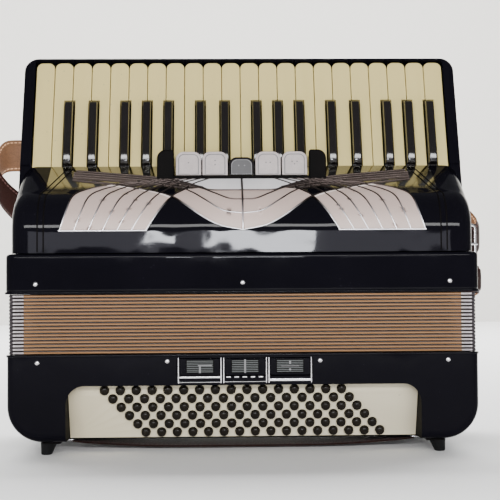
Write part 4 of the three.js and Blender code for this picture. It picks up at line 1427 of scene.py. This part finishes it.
def air_button():
    """A turned cap on a stem, in the end plate."""
    low, high = local_box("air_button")
    x, y = (low[0] + high[0]) / 2, (low[1] + high[1]) / 2
    rise = [[0, 0], [6.6, 0], [8.2, 0.4], [9, 1.3], [9, 3.2], [8.5, 3.9], [3, 4.0]]
    cap = [[r, low[2] + h] for r, h in rise] + [[3, high[2]], [0, high[2]]]
    part = turned_parts(cap, lambda a, b, c: along_z(a + x, b + y, c), 40)
    settle(new_piece("air_release", *part, NICKEL, smooth=35), "air_button", "chrome_trim", "air_button")


end_plate()
air_button()


# ---------------------------------------------------------------- bellows pins
PIN = [[0, 0.6], [2.5, 0.6], [2.5, -0.2], [2.1, -0.8], [1.3, -1.2], [0, -1.4]]
PINS = {"treble_side": [(-205.3, 170), (-0.7, 170.5), (205.6, 171)],
        "bass_side": [(-203.6, 92.4), (-75.7, 93.1), (75.6, 92.8), (203.1, 92.7)]}


def pins():
    """Domed nickel pins that hold the bellows frames, front and back."""
    for body, spots in PINS.items():
        parts = [turned_parts(PIN, lambda a, b, c, x=x, z=z, y=y, way=way: along_y(
            a + x, b + z, y + c * way), 20)
                 for x, z in spots for y, way in ((0, 1), (DEPTH, -1))]
        joined(f"bellows_pins_{body}", parts, NICKEL, body, "chrome_trim", smooth=50)


pins()


# ---------------------------------------------------------------- straps
STRAP_LEFT = [
    [-150, 197, 222], [-200, 199, 234], [-252, 206, 256], [-283, 222, 288], [-284, 244, 318],
    [-262, 258, 326],
    [-190, 268, 318], [-80, 274, 286], [60, 276, 262], [180, 270, 252], [262, 258, 246],
    [284, 240, 230], [274, 216, 217], [230, 202, 214], [160, 197, 215],
]
STRAP_RIGHT = [
    [-150, 197, 178], [-190, 202, 172], [-212, 216, 152], [-200, 232, 126], [-130, 240, 98], [0, 244, 84],
    [130, 244, 100], [210, 240, 132], [262, 230, 160], [282, 217, 172], [268, 206, 172], [225, 199, 172],
    [160, 197, 172],
]
STRAP_WIDTHS = {"left": 38.0, "right": 32.0}
STRAP_THICK = 6.5
HAND_HALF = 40.0
HAND_THICK = 2.5
HAND_Y = 88.0
STITCH = 5.0


def band_piece(name, path, across, up, a, b, share, materials, kind=None):
    """A section carried along a path, its ends closed; u counts stitches and v is the share across."""
    points, faces = swept_parts(path, across, up, np.stack([a, b], -1))
    run = np.concatenate([[0], np.cumsum(np.linalg.norm(np.diff(path, axis=0), axis=1))])
    uv = np.stack(np.broadcast_arrays(run[:, None] / STITCH, share[None] + 0.5), -1)
    return new_piece(name, points, faces, materials, smooth=60, uv=uv, face_material=kind)


def shoulder_band(name, route, width, count=150):
    """A sewn band standing on edge along its route: its section is a superellipse, flatter at the two rims,
    dark hide on one side and tan lining on the other."""
    path = spline(route, count)
    flat = np.gradient(path, axis=0)
    flat[:, 2] = 0
    ahead = unit(flat)
    across = np.stack([-ahead[:, 1], ahead[:, 0], 0 * ahead[:, 0]], -1)
    upright = np.broadcast_to([0.0, 0.0, 1.0], across.shape)
    angle = np.linspace(0, 2 * math.pi, 40, endpoint=False)
    swell = 0.35 + 0.65 * np.clip(1.35 * (1 - (np.abs(np.sin(angle)) / 0.83) ** 6), 0, 1)
    a = STRAP_THICK / 2 * np.sign(np.cos(angle)) * np.abs(np.cos(angle)) ** 0.5 * swell
    b = width / 2 * np.sign(np.sin(angle)) * np.abs(np.sin(angle)) ** 0.8
    kind = np.tile(np.where(a + np.roll(a, -1) < 0, 1, 0), count - 1)
    kind = np.concatenate([kind, [0, 0]])
    return band_piece(name, path, across, upright, a, b, b / width, [DARK_HIDE, TAN_HIDE], kind)


def shoulder_straps():
    for side, route in (("left", STRAP_LEFT), ("right", STRAP_RIGHT)):
        band = shoulder_band(f"shoulder_band_{side}", route, STRAP_WIDTHS[side])
        settle(band, "treble_side", "strap_leather", f"shoulder_strap_{side}")


def bass_strap():
    """The hand strap: a flat band under the end plate, thicker in the middle, dipping towards the floor."""
    line = spline([[-176, 10.4], [-150, 8], [-90, 4.6], [0, 4.0], [90, 4.6], [150, 8], [176, 10.4]], 120)
    path = np.stack([line[:, 0], np.full(120, HAND_Y), line[:, 1] - 1.3], -1)
    ahead = unit(np.gradient(path, axis=0))
    across = np.broadcast_to([0.0, 1.0, 0.0], ahead.shape)
    up = unit(np.cross(ahead, across))
    angle = np.linspace(0, 2 * math.pi, 36, endpoint=False)
    a = HAND_HALF * np.sign(np.cos(angle)) * np.abs(np.cos(angle)) ** 0.7
    b = HAND_THICK / 2 * np.sign(np.sin(angle)) * np.abs(np.sin(angle)) ** 0.6
    band = band_piece("hand_band", path, across, up, a, b, a / (2 * HAND_HALF), DARK_HIDE)
    settle(band, "bass_side", "strap_leather", "bass_strap")


shoulder_straps()
bass_strap()


RIVET = [[0, 0], [2.6, 0], [2.3, 0.9], [1.2, 1.5], [0, 1.6]]
BRACKETS = ((-150, 222, 38), (160, 215, 38), (-150, 178, 32), (160, 172, 32))
BRACKET_BACK = 1.8
BUCKLE_MIDDLE = np.array([263.0, 208.0, 214.5])
BUCKLE_AHEAD = unit(np.array([38.0, 12.0, 0.0]))
BUCKLE_SIDE = np.array([-BUCKLE_AHEAD[1], BUCKLE_AHEAD[0], 0.0])


def buckle_parts():
    """A wire frame round the strap and the tongue across it."""
    loop = rounded(-13, -22, 13, 22, (4,) * 4, 6)
    path = BUCKLE_MIDDLE + loop[:, :1] * BUCKLE_AHEAD - BUCKLE_SIDE * 4.2
    path[:, 2] += loop[:, 1]
    out = np.cross(unit(np.roll(path, -1, 0) - np.roll(path, 1, 0)), BUCKLE_SIDE)
    angle = np.linspace(0, 2 * math.pi, 12, endpoint=False)
    wire = np.stack([1.9 * np.cos(angle), 1.5 * np.sin(angle)], -1)
    tongue = np.linspace(-13, 15, 12)[:, None] * BUCKLE_AHEAD + BUCKLE_MIDDLE - BUCKLE_SIDE * 5.6
    return [swept_parts(path, unit(out), np.broadcast_to(BUCKLE_SIDE, out.shape), wire, closed=True),
            swept_parts(tongue, np.broadcast_to([0, 0, 1.0], tongue.shape),
                        np.broadcast_to(BUCKLE_SIDE, tongue.shape), wire * 0.8)]


def strap_hardware():
    """Bracket plates where the straps meet the back and the end plate, and a buckle on the right."""
    parts = []
    for x, z, width in BRACKETS:
        reach = width / 2 + 3
        parts.append(block_parts(x - 9, z - reach, x + 9, z + reach, DEPTH + 0.1, DEPTH + BRACKET_BACK, 0.5,
                                 along_y, 3, 4))
        for height in (z - width / 2 + 1, z + width / 2 - 1):
            parts.append(turned_parts(RIVET, lambda a, b, c, x=x, height=height: along_y(
                a + x, b + height, DEPTH + BRACKET_BACK + c), 16))
    joined("strap_hardware", parts + buckle_parts(), NICKEL, "treble_side", "chrome_trim")
    ends = [block_parts(x - 8, 50, x + 8, 126, 9.6, 11.4, 0.5, along_z, 2, 4) for x in (-181, 181)]
    joined("hand_strap_brackets", ends, NICKEL, "bass_side", "chrome_trim")


strap_hardware()


# ---------------------------------------------------------------- CAD nodes that stay
for node, material in (("key_axle", STEEL), ("treble_reed_block", SPRUCE)):
    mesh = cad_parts[node].data
    mesh.materials.clear()
    mesh.materials.append(material)


# ---------------------------------------------------------------- studio
def stage_plane(name, corners, colour, rough):
    mesh = bpy.data.meshes.new(name)
    mesh.from_pydata(corners, [], [[0, 1, 2, 3]])
    material = bpy.data.materials.new(name)
    material.use_nodes = True
    shader = material.node_tree.nodes["Principled BSDF"]
    shader.inputs["Base Color"].default_value = (*colour, 1.0)
    shader.inputs["Roughness"].default_value = rough
    mesh.materials.append(material)
    plane = bpy.data.objects.new(name, mesh)
    bpy.context.scene.collection.objects.link(plane)


def lamp(name, place, aim, size, power, colour=(1.0, 1.0, 1.0), mirrored=True):
    data = bpy.data.lights.new(name, "AREA")
    data.shape = "RECTANGLE"
    data.size, data.size_y = size
    data.energy = power
    data.color = colour
    light = bpy.data.objects.new(name, data)
    light.visible_glossy = mirrored
    way = np.array(aim, float) - np.array(place, float)
    back = -way / np.linalg.norm(way)
    side = np.cross([0.0, 0.0, 1.0], back)
    side /= np.linalg.norm(side)
    up = np.cross(back, side)
    light.matrix_world = Matrix.Translation(place) @ Matrix(
        [[side[i], up[i], back[i]] for i in range(3)]).to_4x4()
    bpy.context.scene.collection.objects.link(light)


stage_plane("floor", [(-9, -6, 0), (9, -6, 0), (9, 4.0, 0), (-9, 4.0, 0)], (0.93, 0.93, 0.92), 0.7)
stage_plane("backdrop", [(-9, 4.0, 0), (9, 4.0, 0), (9, 4.0, 3.2), (-9, 4.0, 3.2)], (0.81, 0.79, 0.745), 0.8)
lamp("front_strip", (0.0, -2.24, 0.69), (0, -0.1, 0.22), (2.6, 0.20), 56)
lamp("low_card", (0.0, -2.24, 0.30), (0, -0.1, 0.22), (1.5, 0.075), 2.5, (0.88, 0.88, 1.0))
lamp("bright_card_left", (-0.18, -2.14, 0.312), (-0.18, -0.1, 0.312), (0.092, 0.044), 2.0, (0.93, 0.95, 1.0))
lamp("bright_card_middle", (0.088, -2.14, 0.302), (0.088, -0.1, 0.302), (0.30, 0.057), 8.0,
     (0.93, 0.95, 1.0))
lamp("floor_light", (0.0, 1.9, 2.8), (0, 1.7, 0.0), (6.0, 1.6), 370, mirrored=False)
lamp("wall_light", (0.0, 2.4, 3.4), (0, 4.0, 0.9), (6.0, 0.6), 78, mirrored=False)

world = bpy.data.worlds.new("studio")
world.use_nodes = True
world.node_tree.nodes["Background"].inputs["Color"].default_value = (0.8, 0.82, 0.85, 1.0)
world.node_tree.nodes["Background"].inputs["Strength"].default_value = 0.36
bpy.context.scene.world = world
